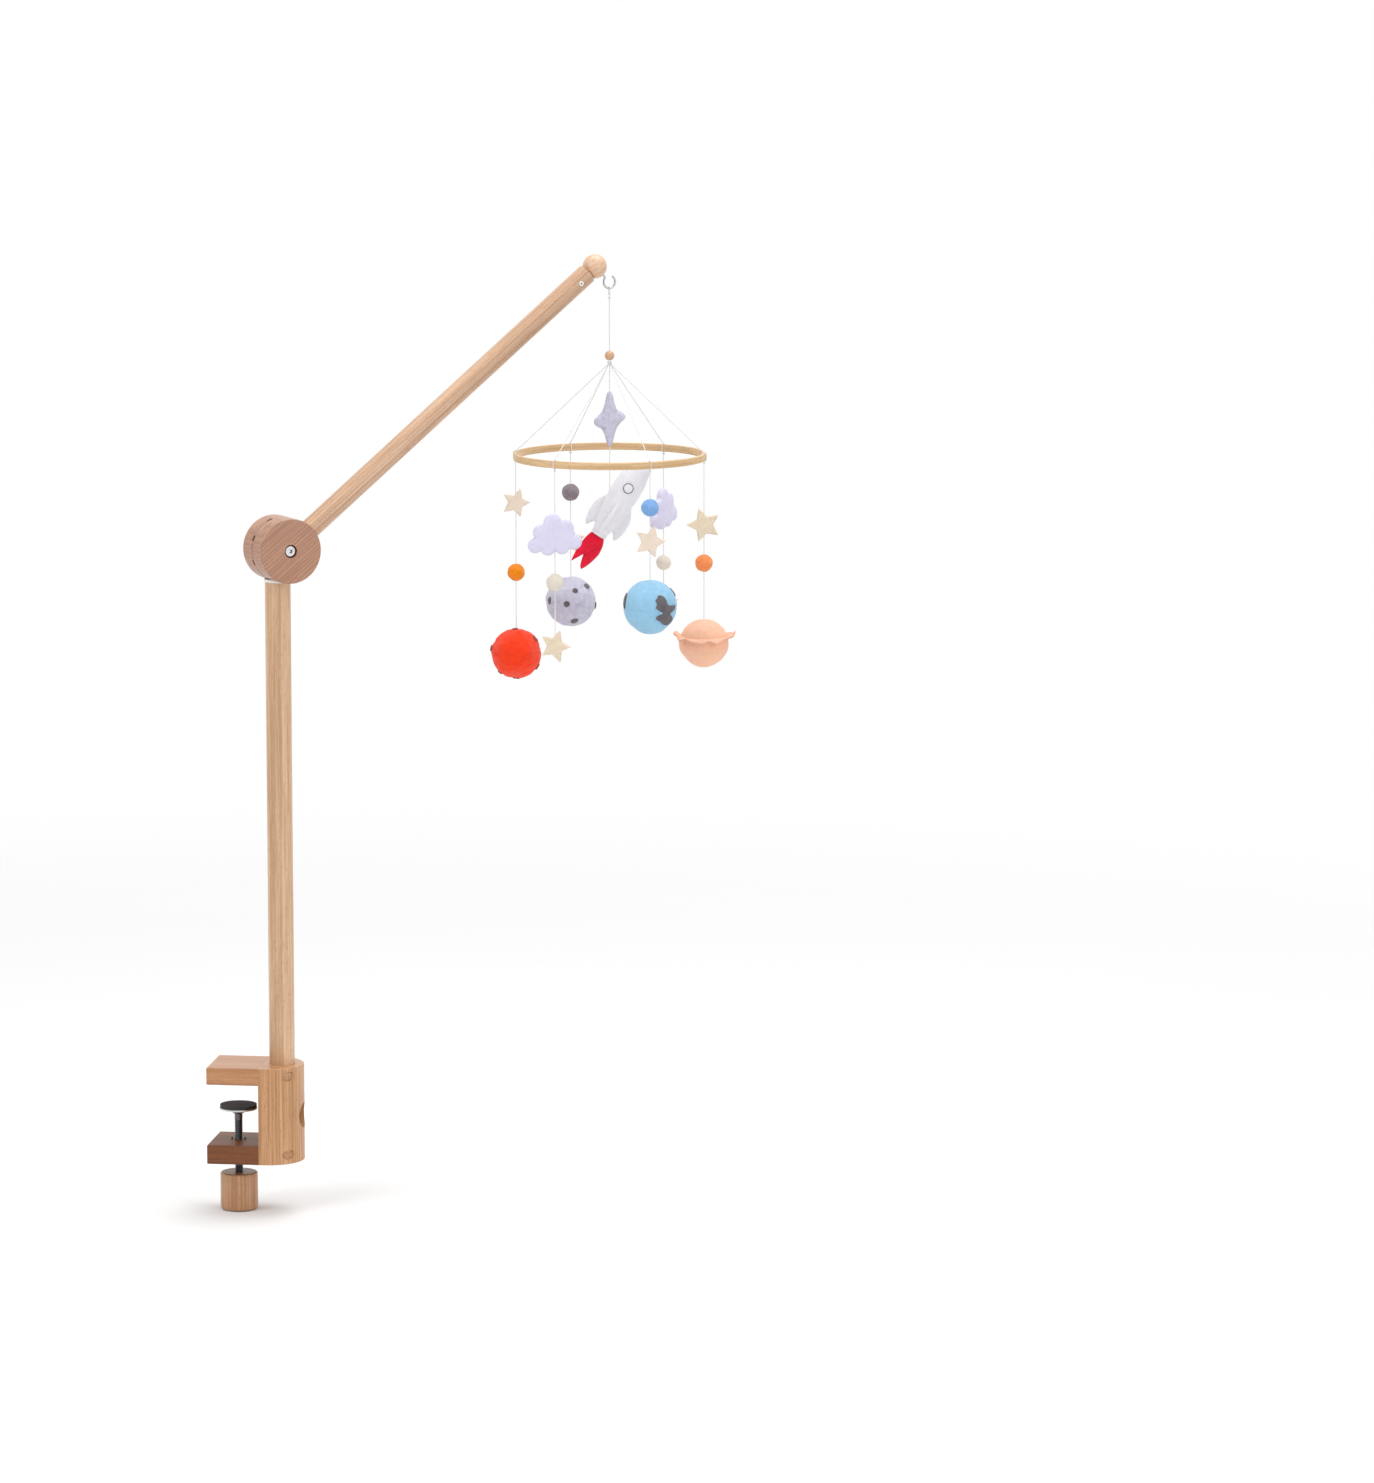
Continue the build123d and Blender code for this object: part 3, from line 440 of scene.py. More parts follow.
# ------------------------------ white cotton lines
# Two-ply twisted cotton. A loop over the hook, one line down to the bead, six taut lines
# from the gather to the hoop, where each is turned once round the strip, and seven strings
# that hang straight with the toys sewn on.
MAIN_D = 0.0012
STRING_D = 0.0010
LOOP_HALF = 0.00184
LOOP_TOP = 1.12
# The loop's way round: its share of the half width to one side, and its share of LOOP_TOP.
LOOP_TURNS = ((0, 0.2), (0.25, 0.3), (1, 0.55), (1, 0.9), (0.8, 1.05), (0, LOOP_TOP),
              (-0.8, 1.05), (-1, 0.9), (-1, 0.55), (-0.25, 0.3), (0, 0.2))
LOOP_KNOT = 0.0014
GATHER_KNOT = 0.0019
STRING_KNOT = 0.00105
KNOT_STEPS = 72
KNOT_RISE = 1.4
PLY_PITCH = 3.4
PLY_WAIST, PLY_SWELL = 0.74, 0.28
LINE_SIDES = 10
GATHER_H = 0.0042
HALF_STRIP = 0.0016
HALF_HOOP = hoop_size.z / 2
WRAP_OUT = 0.0007
CORNER_OUT, CORNER_UP = 0.0008, 0.001
STAY_IN = 0.001
STAY_OVER = 0.0006
GATHER_R = 0.0013
cotton = Finish("white_cotton", 0.9, Sheen_Weight=0.3, Specular_IOR_Level=0.2)
lint = cotton.noise(cotton.place(), 2400, 4, 0.5)
cotton.feed(Base_Color=cotton.blend(lint, (0.66, 0.66, 0.66), (0.84, 0.84, 0.83)))
cotton.bump(lint, 0.4, 0.0002)


def line_of(route):
    """The even points of the smooth line that a route's points shape."""
    curve = bpy.data.curves.new("route", "CURVE")
    curve.dimensions = "3D"
    curve.resolution_u = 12
    spline = curve.splines.new("NURBS")
    spline.points.add(len(route) - 1)
    for point, place in zip(spline.points, route):
        point.co = (*place, 1)
    spline.order_u = 3
    spline.use_endpoint_u = True
    bare = bpy.data.objects.new("route", curve)
    mesh = bpy.data.meshes.new_from_object(bare)
    points = np.array([v.co for v in mesh.vertices])
    bpy.data.meshes.remove(mesh)
    bpy.data.objects.remove(bare)
    bpy.data.curves.remove(curve)
    return points


def twisted(points, diameter):
    """A two-ply line along points: a waisted section that turns as it goes."""
    run = np.concatenate([[0], np.cumsum(np.linalg.norm(np.diff(points, axis=0), axis=1))])
    count = max(8, int(run[-1] / (diameter * 0.5)))
    even = np.linspace(0, run[-1], count + 1)
    line = np.stack([np.interp(even, run, points[:, k]) for k in range(3)], axis=1)
    ahead = np.gradient(line, axis=0)
    ahead /= np.linalg.norm(ahead, axis=1)[:, None]
    side = Vector(ahead[0]).orthogonal().normalized()
    ring_points = []
    for i, (centre, along) in enumerate(zip(line, ahead)):
        along = Vector(along)
        side = (side - along * side.dot(along)).normalized()
        other = along.cross(side)
        spin = 2 * pi * even[i] / (diameter * PLY_PITCH)
        for turn in turns(LINE_SIDES):
            r = diameter / 2 * (PLY_WAIST + PLY_SWELL * abs(cos(turn - spin)))
            out_by = side * (r * cos(turn)) + other * (r * sin(turn))
            ring_points.append(Vector(centre) + out_by)
    return ring_points, tube_faces(count + 1, LINE_SIDES), line


def cord(name, route, diameter, body, nodes=()):
    """A line of twisted cotton along its route, from its first point."""
    points, faces, line = twisted(line_of(route), diameter)
    thing = fitted(piece(name, points, faces, cotton), body, "white_cotton", *nodes)
    length = float(np.linalg.norm(np.diff(line, axis=0), axis=1).sum())
    tuple(route[0])
    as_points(line)


def knot(name, centre, size, body, thick=STRING_D):
    """An overhand knot drawn tight: a closed three-lobed turn of the same cotton."""
    points = []
    for i in range(KNOT_STEPS + 1):
        t = 2 * pi * i / KNOT_STEPS
        lobe = (sin(t) + 2 * sin(2 * t), cos(t) - 2 * cos(2 * t), -KNOT_RISE * sin(3 * t))
        points.append(Vector(centre) + Vector(lobe) * (size / 3))
    fitted(piece(name, *twisted(np.array(points), thick)[:2], cotton), body, "white_cotton")


def plumb(at, *heights):
    """Points straight above each other."""
    return [(at.x, at.y, z) for z in heights]


loop_low, loop_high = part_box("hang_loop")
line_at = middle("main_line")
loop_knot_z = loop_low.z + 0.0015
loop_top = loop_high.z - STRING_D / 2
loop_route = []
for aside, share in LOOP_TURNS:
    lift = loop_knot_z + (loop_top - loop_knot_z) * share / LOOP_TOP
    loop_route.append(Vector((line_at.x, line_at.y, lift)) + tilt_axis * (aside * LOOP_HALF))
loop = piece("hook_loop", *twisted(line_of(loop_route), STRING_D)[:2], cotton)
fitted(loop, "hanger", "white_cotton", "hang_loop")
knot("loop_knot", *plumb(line_at, loop_knot_z), LOOP_KNOT, "hanger")

gather_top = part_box("rigging")[1].z
gather_low = gather_top - GATHER_H
main_route = plumb(line_at, loop_knot_z - 0.0012, loop_knot_z - 0.01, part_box("bead")[1].z,
                   gather_top + 0.0002)
cord("mobile_line", main_route, MAIN_D, "line", ["main_line"])
knot("gather_knot", *plumb(line_at, gather_top - GATHER_H / 2), GATHER_KNOT, "hoop_frame", 0.0013)

STRANDS = ("saturn", "earth", "front_cloud", "planet", "moon", "back_cloud")
string_places = {strand: middle("string_" + strand) for strand in (*STRANDS, "rocket")}
for strand in STRANDS:
    at = string_places[strand]
    outward = Vector((at.x - hoop_middle.x, at.y - hoop_middle.y, 0)).normalized()

    def beside(out_by, up_by):
        centre = Vector((at.x, at.y, hoop_middle.z))
        return centre + outward * out_by + UPRIGHT * up_by

    wide, tall = HALF_STRIP + WRAP_OUT, HALF_HOOP + WRAP_OUT
    top = Vector((line_at.x, line_at.y, gather_low + STAY_OVER)) + outward * GATHER_R
    reach = beside(-STAY_IN, tall + STAY_OVER) - top
    # Over the strip, down its outer side, under it, up its inner side and over again.
    turn = ((-STAY_IN, tall + 0.0004), (wide - CORNER_OUT, tall), (wide, tall - CORNER_UP),
            (wide, CORNER_UP - tall), (wide - CORNER_OUT, -tall), (CORNER_OUT - wide, -tall),
            (-wide, CORNER_UP - tall), (-wide, tall - CORNER_UP), (STAY_IN - wide, tall + 0.0002),
            (0.0005, tall + STAY_OVER))
    route = [top, top + reach * 0.3, top + reach * 0.7, *(beside(*step) for step in turn)]
    cord(strand + "_stay", route, STRING_D, "hoop_frame",
         ["rigging"] if strand == "saturn" else [])

# ------------------------------ felt balls
# Solid balls of wet-felted wool, a little uneven, with a nap of short fibres. The string is
# drawn through each with a needle.
WHITE_WOOL = ((0.84, 0.78, 0.68), (0.74, 0.66, 0.56), "white_felt")
BALL_COLOURS = {
    "saturn_ball": ((1.0, 0.34, 0.11), (0.86, 0.20, 0.055), "salmon_felt"),
    "earth_ball": ((0.25, 0.48, 0.86), (0.14, 0.32, 0.67), "blue_felt"),
    "front_cloud_ball": WHITE_WOOL,
    "planet_ball": ((1.0, 0.30, 0.006), (0.80, 0.19, 0.003), "orange_felt"),
    "moon_ball": ((0.34, 0.28, 0.32), (0.17, 0.14, 0.155), "grey_felt"),
    "back_cloud_ball": WHITE_WOOL,
}
WOOL_FIBRE, WOOL_CROSSING, WOOL_CLUMP = 800, 1250, 210
WOOL_DEPTH = 0.0005
NEEDLE_DEPTH, NEEDLE_WIDTH = 0.10, 0.012
BALL_RINGS, BALL_SIDES = 56, 96


def felt(name, colour, shade, nap=1.0, mottle=1.0):
    """Pressed wool: fine crossing fibres, small clumps and a soft sheen of loose ends."""
    finish = Finish(name, 0.95, Specular_IOR_Level=0.15, Sheen_Weight=0.22, Sheen_Roughness=0.5)
    place = finish.place()
    askew = finish.stretched(place, (1, 1.7, 0.7))
    fibre = 1 - abs(finish.noise(place, WOOL_FIBRE, 2, 1.8) - 0.5) * 5
    crossing = 1 - abs(finish.noise(askew, WOOL_CROSSING, 2, 2.4) - 0.5) * 5
    clump = finish.noise(place, WOOL_CLUMP, 4, 0.3, 0.62)
    light = clump * (1.5 * mottle) + fibre * 0.22 + crossing * 0.16 + (0.28 - 0.75 * mottle)
    finish.feed(Base_Color=finish.blend(light.part(-0.1, 0.9), shade, colour))
    finish.feed(Roughness=clump * 0.1 + 0.88)
    finish.bump(fibre * 0.35 + crossing * 0.3 + clump * 1.4, 0.5 * nap, WOOL_DEPTH)
    return finish


def waver(*at):
    """A number that wanders smoothly from place to place."""
    return noise.noise(Vector(at))


def globe(shape, rings, sides):
    """A closed round surface whose radius in each direction is given by shape."""
    points = [Vector((0, 0, -shape(Vector((0, 0, -1)))))]
    for i in range(1, rings):
        lift = pi * i / rings - pi / 2
        for turn in turns(sides):
            way = Vector(direction(turn, lift))
            points.append(way * shape(way))
    points.append(Vector((0, 0, shape(UPRIGHT))))
    faces = [(0, 1 + (j + 1) % sides, 1 + j) for j in range(sides)]
    faces += [tuple(v + 1 for v in face) for face in tube_faces(rings - 1, sides, False)]
    start, last = 1 + (rings - 2) * sides, len(points) - 1
    faces += [(start + j, start + (j + 1) % sides, last) for j in range(sides)]
    return points, faces


def hung(strand, node, facing=0.0, rise=0.0):
    """Where a toy hangs on its string: at its node's middle height, turned about the string."""
    at = plumb(string_places[strand], middle(node).z - rise)[0]
    return Matrix.Translation(at) @ Matrix.Rotation(facing, 4, "Z")


def rise_of(points):
    """How far the middle of a cut piece's box lies above its own centre."""
    return (max(p[2] for p in points) + min(p[2] for p in points)) / 2


def sewn(name, shape, finish, place, strand, slot, *nodes, fill=0.0):
    """Make a toy or a part of one. It rides on its string, and stands for its CAD nodes."""
    thing = fitted(piece(name, *shape, finish, place), strand + "_strand", slot, *nodes)
    return thing


toys_on = {strand: [] for strand in (*STRANDS, "rocket")}
for order, (node, (colour, shade, slot)) in enumerate(BALL_COLOURS.items()):
    strand = node.removesuffix("_ball")
    radius = radius_of(node)
    shift = Vector((order * 7.3, order * 3.1, 1.7))

    def wool_ball(way):
        lumps = noise.noise(way * 1.6 + shift) * 0.045 + noise.noise(way * 6 + shift) * 0.02
        nap = noise.noise(way * 17 + shift) * 0.018 + noise.noise(way * 38 + shift) * 0.012
        needle = NEEDLE_DEPTH * exp(-((1 - abs(way.z)) / NEEDLE_WIDTH) ** 2)
        return radius * (0.985 + lumps + nap - needle)

    shape = globe(wool_ball, BALL_RINGS, BALL_SIDES)
    finish = felt(node + "_wool", colour, shade, 1.5, 0.8)
    ball = sewn(node + "_wool", shape, finish, hung(strand, node), strand, slot, node, fill=1.0)
    toys_on[strand].append(ball)

# ------------------------------ felt stars
# Stars cut from thick cream felt. Their points are a little uneven, because they are cut
# by hand, and their cut edges are square and slightly rounded by handling.
STAR_T = 0.0045
STAR_WARP = 0.0006
FELT_STEP = 0.0012
WARP_RATE = 45
NAP, NAP_RATE = 0.00012, 900
FACING = radians(8)
STARS = {
    # size, the angle of one point, and the turn about the string
    "saturn_star": (0.035, 180, -6), "earth_star": (0.033, 0, 20), "front_cloud_star": (0.033, 0, -20),
    "planet_star": (0.030, 0, 14), "moon_star": (0.031, 90, -20), "back_cloud_star": (0.033, 90, 20),
}


def eased(corners, share):
    """An outline with each of its corners cut by a short curve."""
    outline = []
    for i, here in enumerate(corners):
        before, after = corners[i - 1], corners[(i + 1) % len(corners)]
        first = here + (before - here) * share
        last = here + (after - here) * share
        for step in range(5):
            t = step / 4
            outline.append(first * (1 - t) ** 2 + here * (2 * t * (1 - t)) + last * t**2)
    return outline


def spaced(outline, step):
    """The outline's points again, no further apart than a step."""
    points = []
    for i, here in enumerate(outline):
        after = outline[(i + 1) % len(outline)]
        parts_of = max(1, ceil((after - here).length / step))
        points += [here + (after - here) * (k / parts_of) for k in range(parts_of)]
    return points


def slab(outline, thick, step, edge=0.0009, square=0.6, crown=0.0, inset=0.003):
    """A piece cut from sheet felt, or two sewn and stuffed: points (x, y, depth) and faces.

    The face falls to the edge over a rounding, and square is the share of the thickness
    that the cut edge keeps. A stuffed piece has a crown that rises over its inset."""
    rim = spaced(outline, step)
    flat = np.array([tuple(p) for p in rim])
    after = np.roll(flat, -1, axis=0)
    span = after - flat
    inward = np.stack([-span[:, 1], span[:, 0]], axis=1)
    inward /= np.maximum(np.linalg.norm(inward, axis=1), 1e-12)[:, None]
    area = float((flat[:, 0] * after[:, 1] - after[:, 0] * flat[:, 1]).sum())
    inward *= copysign(1, area)

    def away(points):
        t = np.clip(((points[:, None] - flat) * span).sum(2) / (span**2).sum(1), 0, 1)
        return np.linalg.norm(points[:, None] - flat - t[..., None] * span, axis=2).min(1)

    def inside(points):
        x, y = points[:, 0, None], points[:, 1, None]
        crosses = (flat[:, 1] > y) != (after[:, 1] > y)
        rise = np.where(span[:, 1] == 0, 1e-12, span[:, 1])
        reach = span[:, 0] * (y - flat[:, 1]) / rise + flat[:, 0]
        return (crosses & (x < reach)).sum(1) % 2 == 1

    extra = []
    for share in (0.12, 0.4, 1.0):
        ring = (flat + after) / 2 + inward * (edge * share)
        extra.append(ring[inside(ring) & (away(ring) > edge * share * 0.93)])
    low, high = flat.min(0), flat.max(0)
    xs = np.arange(low[0], high[0], step * 1.15)
    ys = np.arange(low[1], high[1], step)
    grid = np.array([(x + (k % 2) * step * 0.55, y) for k, y in enumerate(ys) for x in xs])
    grid = grid[inside(grid)]
    extra.append(grid[away(grid) > edge + step * 0.55])
    extra = np.concatenate(extra)
    count = len(flat)
    loop_edges = [(i, (i + 1) % count) for i in range(count)]
    plan = [Vector(p) for p in np.concatenate([flat, extra])]
    plan, _, triangles, *_ = delaunay_2d_cdt(plan, loop_edges, [], 1, 1e-7)
    plan = np.array([tuple(p) for p in plan])
    near = away(plan)
    near[:count] = 0
    rise = np.sqrt(1 - (1 - np.clip(near / edge, 0, 1)) ** 2)
    half = thick / 2 * (square + (1 - square) * rise)
    half += crown * np.sqrt(1 - (1 - np.clip(near / inset, 0, 1)) ** 2)
    total = len(plan)
    points = [(x, y, h * side) for side in (1, -1) for (x, y), h in zip(plan, half)]
    faces = []
    for a, b, c in triangles:
        if Vector(plan[b] - plan[a]).cross(Vector(plan[c] - plan[a])) <= 0:
            b, c = c, b
        faces += [(a, b, c), (total + a, total + c, total + b)]
    for i, j in loop_edges:
        quad = (i, total + i, total + j, j)
        faces.append(quad if area > 0 else quad[::-1])
    return points, faces


def upright_slab(points, wave, seed):
    """Stand a slab up in the xz plane, with a slow warp and faint unevenness."""
    stood = []
    for x, y, h in points:
        warp = wave * waver(x * WARP_RATE, y * WARP_RATE, seed)
        rough = NAP * waver(x * NAP_RATE, y * NAP_RATE, h * NAP_RATE + seed)
        stood.append((x, -h - copysign(rough, h) + warp, y))
    return stood


def star_outline(size, point_deg, seed):
    """Five points and the corners between them, none of them quite even."""
    corners = []
    for i in range(10):
        uneven = 1 + 0.05 * waver(i * 2.7, seed, 0.4)
        r = size / 2 * uneven if i % 2 == 0 else size / 4 * (2 - uneven)
        turn = radians(point_deg) + i * pi / 5
        turn += 0.04 * waver(seed, i * 1.9, 2.0)
        corners.append(Vector((r * cos(turn), r * sin(turn))))
    return eased(corners, 0.09)


cream_felt = felt("cream_felt_sheet", (0.90, 0.77, 0.65), (0.74, 0.59, 0.46), 0.9, 0.6)
khaki_felt = felt("khaki_felt_sheet", (0.84, 0.72, 0.55), (0.66, 0.54, 0.38), 0.9, 0.6)
for order, (node, (size, point, turn)) in enumerate(STARS.items()):
    strand = node.removesuffix("_star")
    points, faces = slab(star_outline(size, point, order + 1.0), STAR_T, FELT_STEP)
    points = upright_slab(points, STAR_WARP, order * 3.3)
    place = hung(strand, node, FACING + radians(turn), rise_of(points))
    cloth = cream_felt if order % 2 else khaki_felt
    star = sewn(node + "_felt", (points, faces), cloth, place, strand, "cream_felt", node)
    toys_on[strand].append(star)

# ------------------------------ felt clouds
# Two lavender clouds, each of two scalloped layers that are sewn round the edge over a
# thin filling. The back one is turned well away from the front.
CLOUD_W = 0.053
CLOUD_H = 0.041
CLOUD_LOBES = ((-0.72, -0.52, 0.28), (-0.26, -0.62, 0.29), (0.26, -0.56, 0.29), (0.71, -0.32, 0.29),
               (-0.5, 0.1, 0.31), (-0.08, 0.56, 0.34), (0.4, 0.34, 0.3))
CLOUD_STEPS = 220
CLOUD_T = 0.0034
CLOUD_CROWN = 0.0026
CLOUD_WARP = 0.0008
CLOUDS = {"front_cloud": 0.0, "back_cloud": 64.0}


def cloud_outline():
    """The outer edge of a round middle and its scallops."""
    w, h = CLOUD_W / 2, CLOUD_H / 2
    outline = []
    for turn in turns(CLOUD_STEPS):
        way = Vector((cos(turn), sin(turn)))
        far = 1 / hypot(way.x / (w * 0.74), way.y / (h * 0.66))
        for x, z, r in CLOUD_LOBES:
            centre = Vector((x * w, z * h))
            along = centre.dot(way)
            spare = (r * w) ** 2 - (centre.length_squared - along * along)
            if spare > 0:
                far = max(far, along + sqrt(spare))
        outline.append(way * far)
    return outline


lavender_felt = felt("lavender_felt_sheet", (0.73, 0.70, 0.87), (0.60, 0.57, 0.76), 0.8, 0.5)
points, faces = slab(cloud_outline(), CLOUD_T, FELT_STEP, 0.0008, 0.5, CLOUD_CROWN, 0.007)
for node, turn in CLOUDS.items():
    shape = upright_slab(points, CLOUD_WARP, turn)
    place = hung(node, node, FACING + radians(turn), rise_of(shape))
    cloud = sewn(node + "_felt", (shape, faces), lavender_felt, place, node, "lavender_felt", node,
                 fill=0.3)
    toys_on[node].append(cloud)

# ------------------------------ stuffed worlds
# Earth, the moon and the red planet are balls of brushed felt, sewn from panels with a
# seam round the middle and stuffed hard, so that the cloth puckers a little at the seams.
WORLD_RINGS, WORLD_SIDES = 90, 150
WORLD_MOST = 1.03
SEAM_DEPTH, SEAM_WIDTH = 0.022, 0.02
PUCKER_DEPTH, PUCKER_REACH = 0.010, 0.10
PATCH_STEP = 0.0009
SPOT_T, LAND_T = 0.0010, 0.0011


def world_shape(node, seam, lumps, facets, seed, point=0.0, folds=0.0):
    """The radius of a stuffed ball in each direction."""
    radius = radius_of(node)
    shift = Vector((seed, seed * 1.7, seed * 0.6))

    def shape(way):
        turn = atan2(way.y, way.x)
        lift = way.z - seam - 0.02 * sin(2 * turn + seed)
        bumps = noise.noise(way * 1.5 + shift) + 0.5 * noise.noise(way * 3.6 + shift)
        r = 0.985 + lumps * bumps
        r += facets * cos(6 * turn) * (1 - way.z * way.z) * (1 if way.z > 0 else -0.6)
        r -= SEAM_DEPTH * exp(-((lift / SEAM_WIDTH) ** 2))
        pucker = exp(-abs(lift) / PUCKER_REACH) * waver(turn * 9, lift * 3, seed)
        r += PUCKER_DEPTH * pucker
        r += folds * (min(0.5, 2.2 * abs(noise.noise(way * 1.7 + shift * 2))) - 0.35)
        r += point * max(0.0, -way.z - 0.80) * 5 - 0.02 * max(0.0, way.z - 0.93) * 10
        return radius * min(r, WORLD_MOST)

    return shape


def bent_onto(shape, points, aim, roll, thick):
    """Lay a flat patch on a stuffed ball, about the direction aim."""
    aim = Vector(aim).normalized()
    right = UPRIGHT.cross(aim).normalized()
    up = aim.cross(right)
    centre = aim * shape(aim)
    laid = []
    for x, y, h in points:
        u = x * cos(roll) - y * sin(roll)
        v = x * sin(roll) + y * cos(roll)
        way = (centre + right * u + up * v).normalized()
        laid.append(way * (shape(way) + thick * 0.5 + h))
    return laid


def disc_outline(across, along, seed):
    """A round patch cut by hand, from half its width and half its height."""
    outline = []
    for turn in turns(28):
        x, y = cos(turn), sin(turn)
        uneven = 1 + 0.06 * waver(x * 1.5, y * 1.5, seed)
        outline.append(Vector((across * x, along * y)) * uneven)
    return outline


def patches(name, shape, places, thick, finish, strand, slot):
    """Felt patches glued to a world: each an outline, the direction it faces and its roll."""
    lots = []
    for outline, aim, roll in places:
        points, faces = slab(outline, thick, PATCH_STEP, 0.0004, 0.5)
        lots.append((bent_onto(shape, points, aim, roll, thick), faces))
    sewn(name, joined(lots), finish, hung(strand, strand), strand, slot)


def discs(sizes, uneven):
    """Round patches: each one's half width and height in millimetres, and where it faces."""
    return [(disc_outline(w / 1000, h / 1000, w + h * uneven), aimed(a, b), 0)
            for w, h, a, b in sizes]


def stuffed(node, shape, finish, slot, fill):
    """Hang a stuffed ball on its string."""
    ball = globe(shape, WORLD_RINGS, WORLD_SIDES)
    sewn(node + "_felt", ball, finish, hung(node, node), node, slot, node, fill=fill)


def aimed(aside_deg, lift_deg):
    """A direction on a world, from the side that faces the front."""
    turn = radians(aside_deg - 90) + FACING
    return Vector(direction(turn, radians(lift_deg)))


def outline_of(*corners):
    """An outline with eased corners, from millimetres."""
    return eased([Vector((x / 1000, y / 1000)) for x, y in corners], 0.3)


grey_felt = felt("charcoal_felt_sheet", (0.155, 0.14, 0.15), (0.075, 0.068, 0.075), 0.9)
sky_felt = felt("sky_felt_brushed", (0.33, 0.59, 0.79), (0.23, 0.48, 0.69), 1.1, 0.7)
earth_shape = world_shape("earth", seam=-0.05, lumps=0.018, facets=0.008, seed=2.1, point=0.07)
stuffed("earth", earth_shape, sky_felt, "sky_felt", 0.95)
LAND_FRONT = outline_of((-7.5, 17), (-2, 15), (1, 9.5), (2, 5), (6, 3.5), (15, 4), (13.5, -1.0),
                        (4.0, -3.5), (11.5, -10), (13, -15), (7, -20), (-1, -17), (-5, -12.5),
                        (-10.5, -10), (-10, -6), (-1.5, -3.5), (-8, 0), (-12, 2.5), (-9.5, 6.5),
                        (-12, 11), (-9, 13.5))
LAND_WEST = outline_of((-2, 9), (-4, 3), (-2, -4), (1, -9), (3, -2), (2, 6))
LAND_BACK = outline_of((-8, 5), (-2, 8), (6, 6), (9, 0), (4, -4), (2, -10), (-3, -7), (-5, -1))
earth_lands = [(LAND_FRONT, aimed(36, -2), 0.0), (LAND_WEST, aimed(-76, 14), 0.2),
               (LAND_BACK, aimed(160, 10), 0.1), (LAND_BACK, aimed(-135, -8), 2.2),
               (disc_outline(0.006, 0.0045, 3.0), aimed(105, 30), 0.4)]
patches("earth_lands", earth_shape, earth_lands, LAND_T, grey_felt, "earth", "grey_felt")

moon_felt = felt("moon_felt_brushed", (0.60, 0.60, 0.71), (0.43, 0.42, 0.54), 1.2, 1.2)
moon_shape = world_shape("moon", seam=0.0, lumps=0.040, facets=0.014, seed=5.3, folds=0.03)
stuffed("moon", moon_shape, moon_felt, "moon_felt", 0.95)
MOON_SPOTS = ((2.6, 2.6, 12, 32), (2.9, 2.9, -9, 1), (3.8, 3.2, 12, -43), (2.4, 3.6, -58, 6),
              (3.4, 3.0, 60, 42), (3.0, 3.6, 80, -8), (3.0, 3.0, 130, 20), (3.6, 3.2, 180, -10),
              (2.6, 2.8, 200, 35), (3.0, 3.0, -110, -25), (2.4, 2.4, 150, -45))
patches("moon_craters", moon_shape, discs(MOON_SPOTS, 1), SPOT_T, grey_felt, "moon", "grey_felt")

red_felt = felt("red_felt_brushed", (1.0, 0.055, 0.010), (0.80, 0.030, 0.004), 1.1, 0.7)
brown_felt = felt("brown_felt_sheet", (0.36, 0.085, 0.04), (0.20, 0.04, 0.02), 0.9)
planet_shape = world_shape("planet", seam=0.06, lumps=0.045, facets=0.012, seed=8.9, folds=0.045)
stuffed("planet", planet_shape, red_felt, "red_felt", 0.9)
PLANET_SPOTS = ((3.0, 2.6, -24, 84), (3.2, 3.4, 76, 38), (3.0, 3.6, 84, -32), (2.8, 3.2, -88, 12),
                (3.0, 2.4, -74, -48), (3.4, 2.6, -6, -84), (3.2, 3.0, 140, 12), (3.4, 3.0, 195, -20),
                (2.8, 2.8, 170, 45), (3.0, 3.0, -130, 30), (3.2, 2.8, -140, -30))
patches("planet_craters", planet_shape, discs(PLANET_SPOTS, -1), SPOT_T, brown_felt, "planet", "red_felt")

# ------------------------------ Saturn
# A stuffed peach ball with a brim of two felt layers. The brim is cut wider than it needs,
# so that its hem waves, and it droops towards the front.
BRIM_OUT = 0.0305
BRIM_IN = 0.0225
BRIM_HALF = 0.0012
BRIM_RISE = 0.0050
BRIM_CURL = 0.0026
BRIM_SIDES = 180
HEM_AT = 0.86
THREAD_D = 0.00044
peach_felt = felt("peach_felt_brushed", (0.95, 0.57, 0.40), (0.84, 0.43, 0.27), 1.1, 0.6)
ball_shape = world_shape("saturn", seam=0.14, lumps=0.020, facets=0.0, seed=4.2, point=0.03)


def saturn_body(way):
    """A full dome over the brim, and a bowl with steeper sides under it."""
    bowl = 0.0006 * exp(-(((way.z + 0.28) / 0.25) ** 2)) - 0.0010 * max(0.0, way.z)
    return ball_shape(way) + bowl


def brim_ring(i, share, side):
    """A point of the brim: share runs from its root to its hem, and side is its face."""
    turn = 2 * pi * i / BRIM_SIDES
    wave = 0.0008 * sin(9 * turn + 0.6) + 0.0005 * sin(14 * turn)
    out_at = BRIM_IN + (BRIM_OUT + 0.0006 * sin(5 * turn) - BRIM_IN) * share
    curl = BRIM_CURL * share * cos(2 * (turn - FACING))
    curl += 0.0014 * share**3 * cos(turn - FACING) ** 8
    flare = BRIM_HALF * (1 - 0.25 * share) * side
    lift = BRIM_RISE + curl + wave * share * share * 1.5 + flare
    return Vector((out_at * cos(turn), out_at * sin(turn), lift))


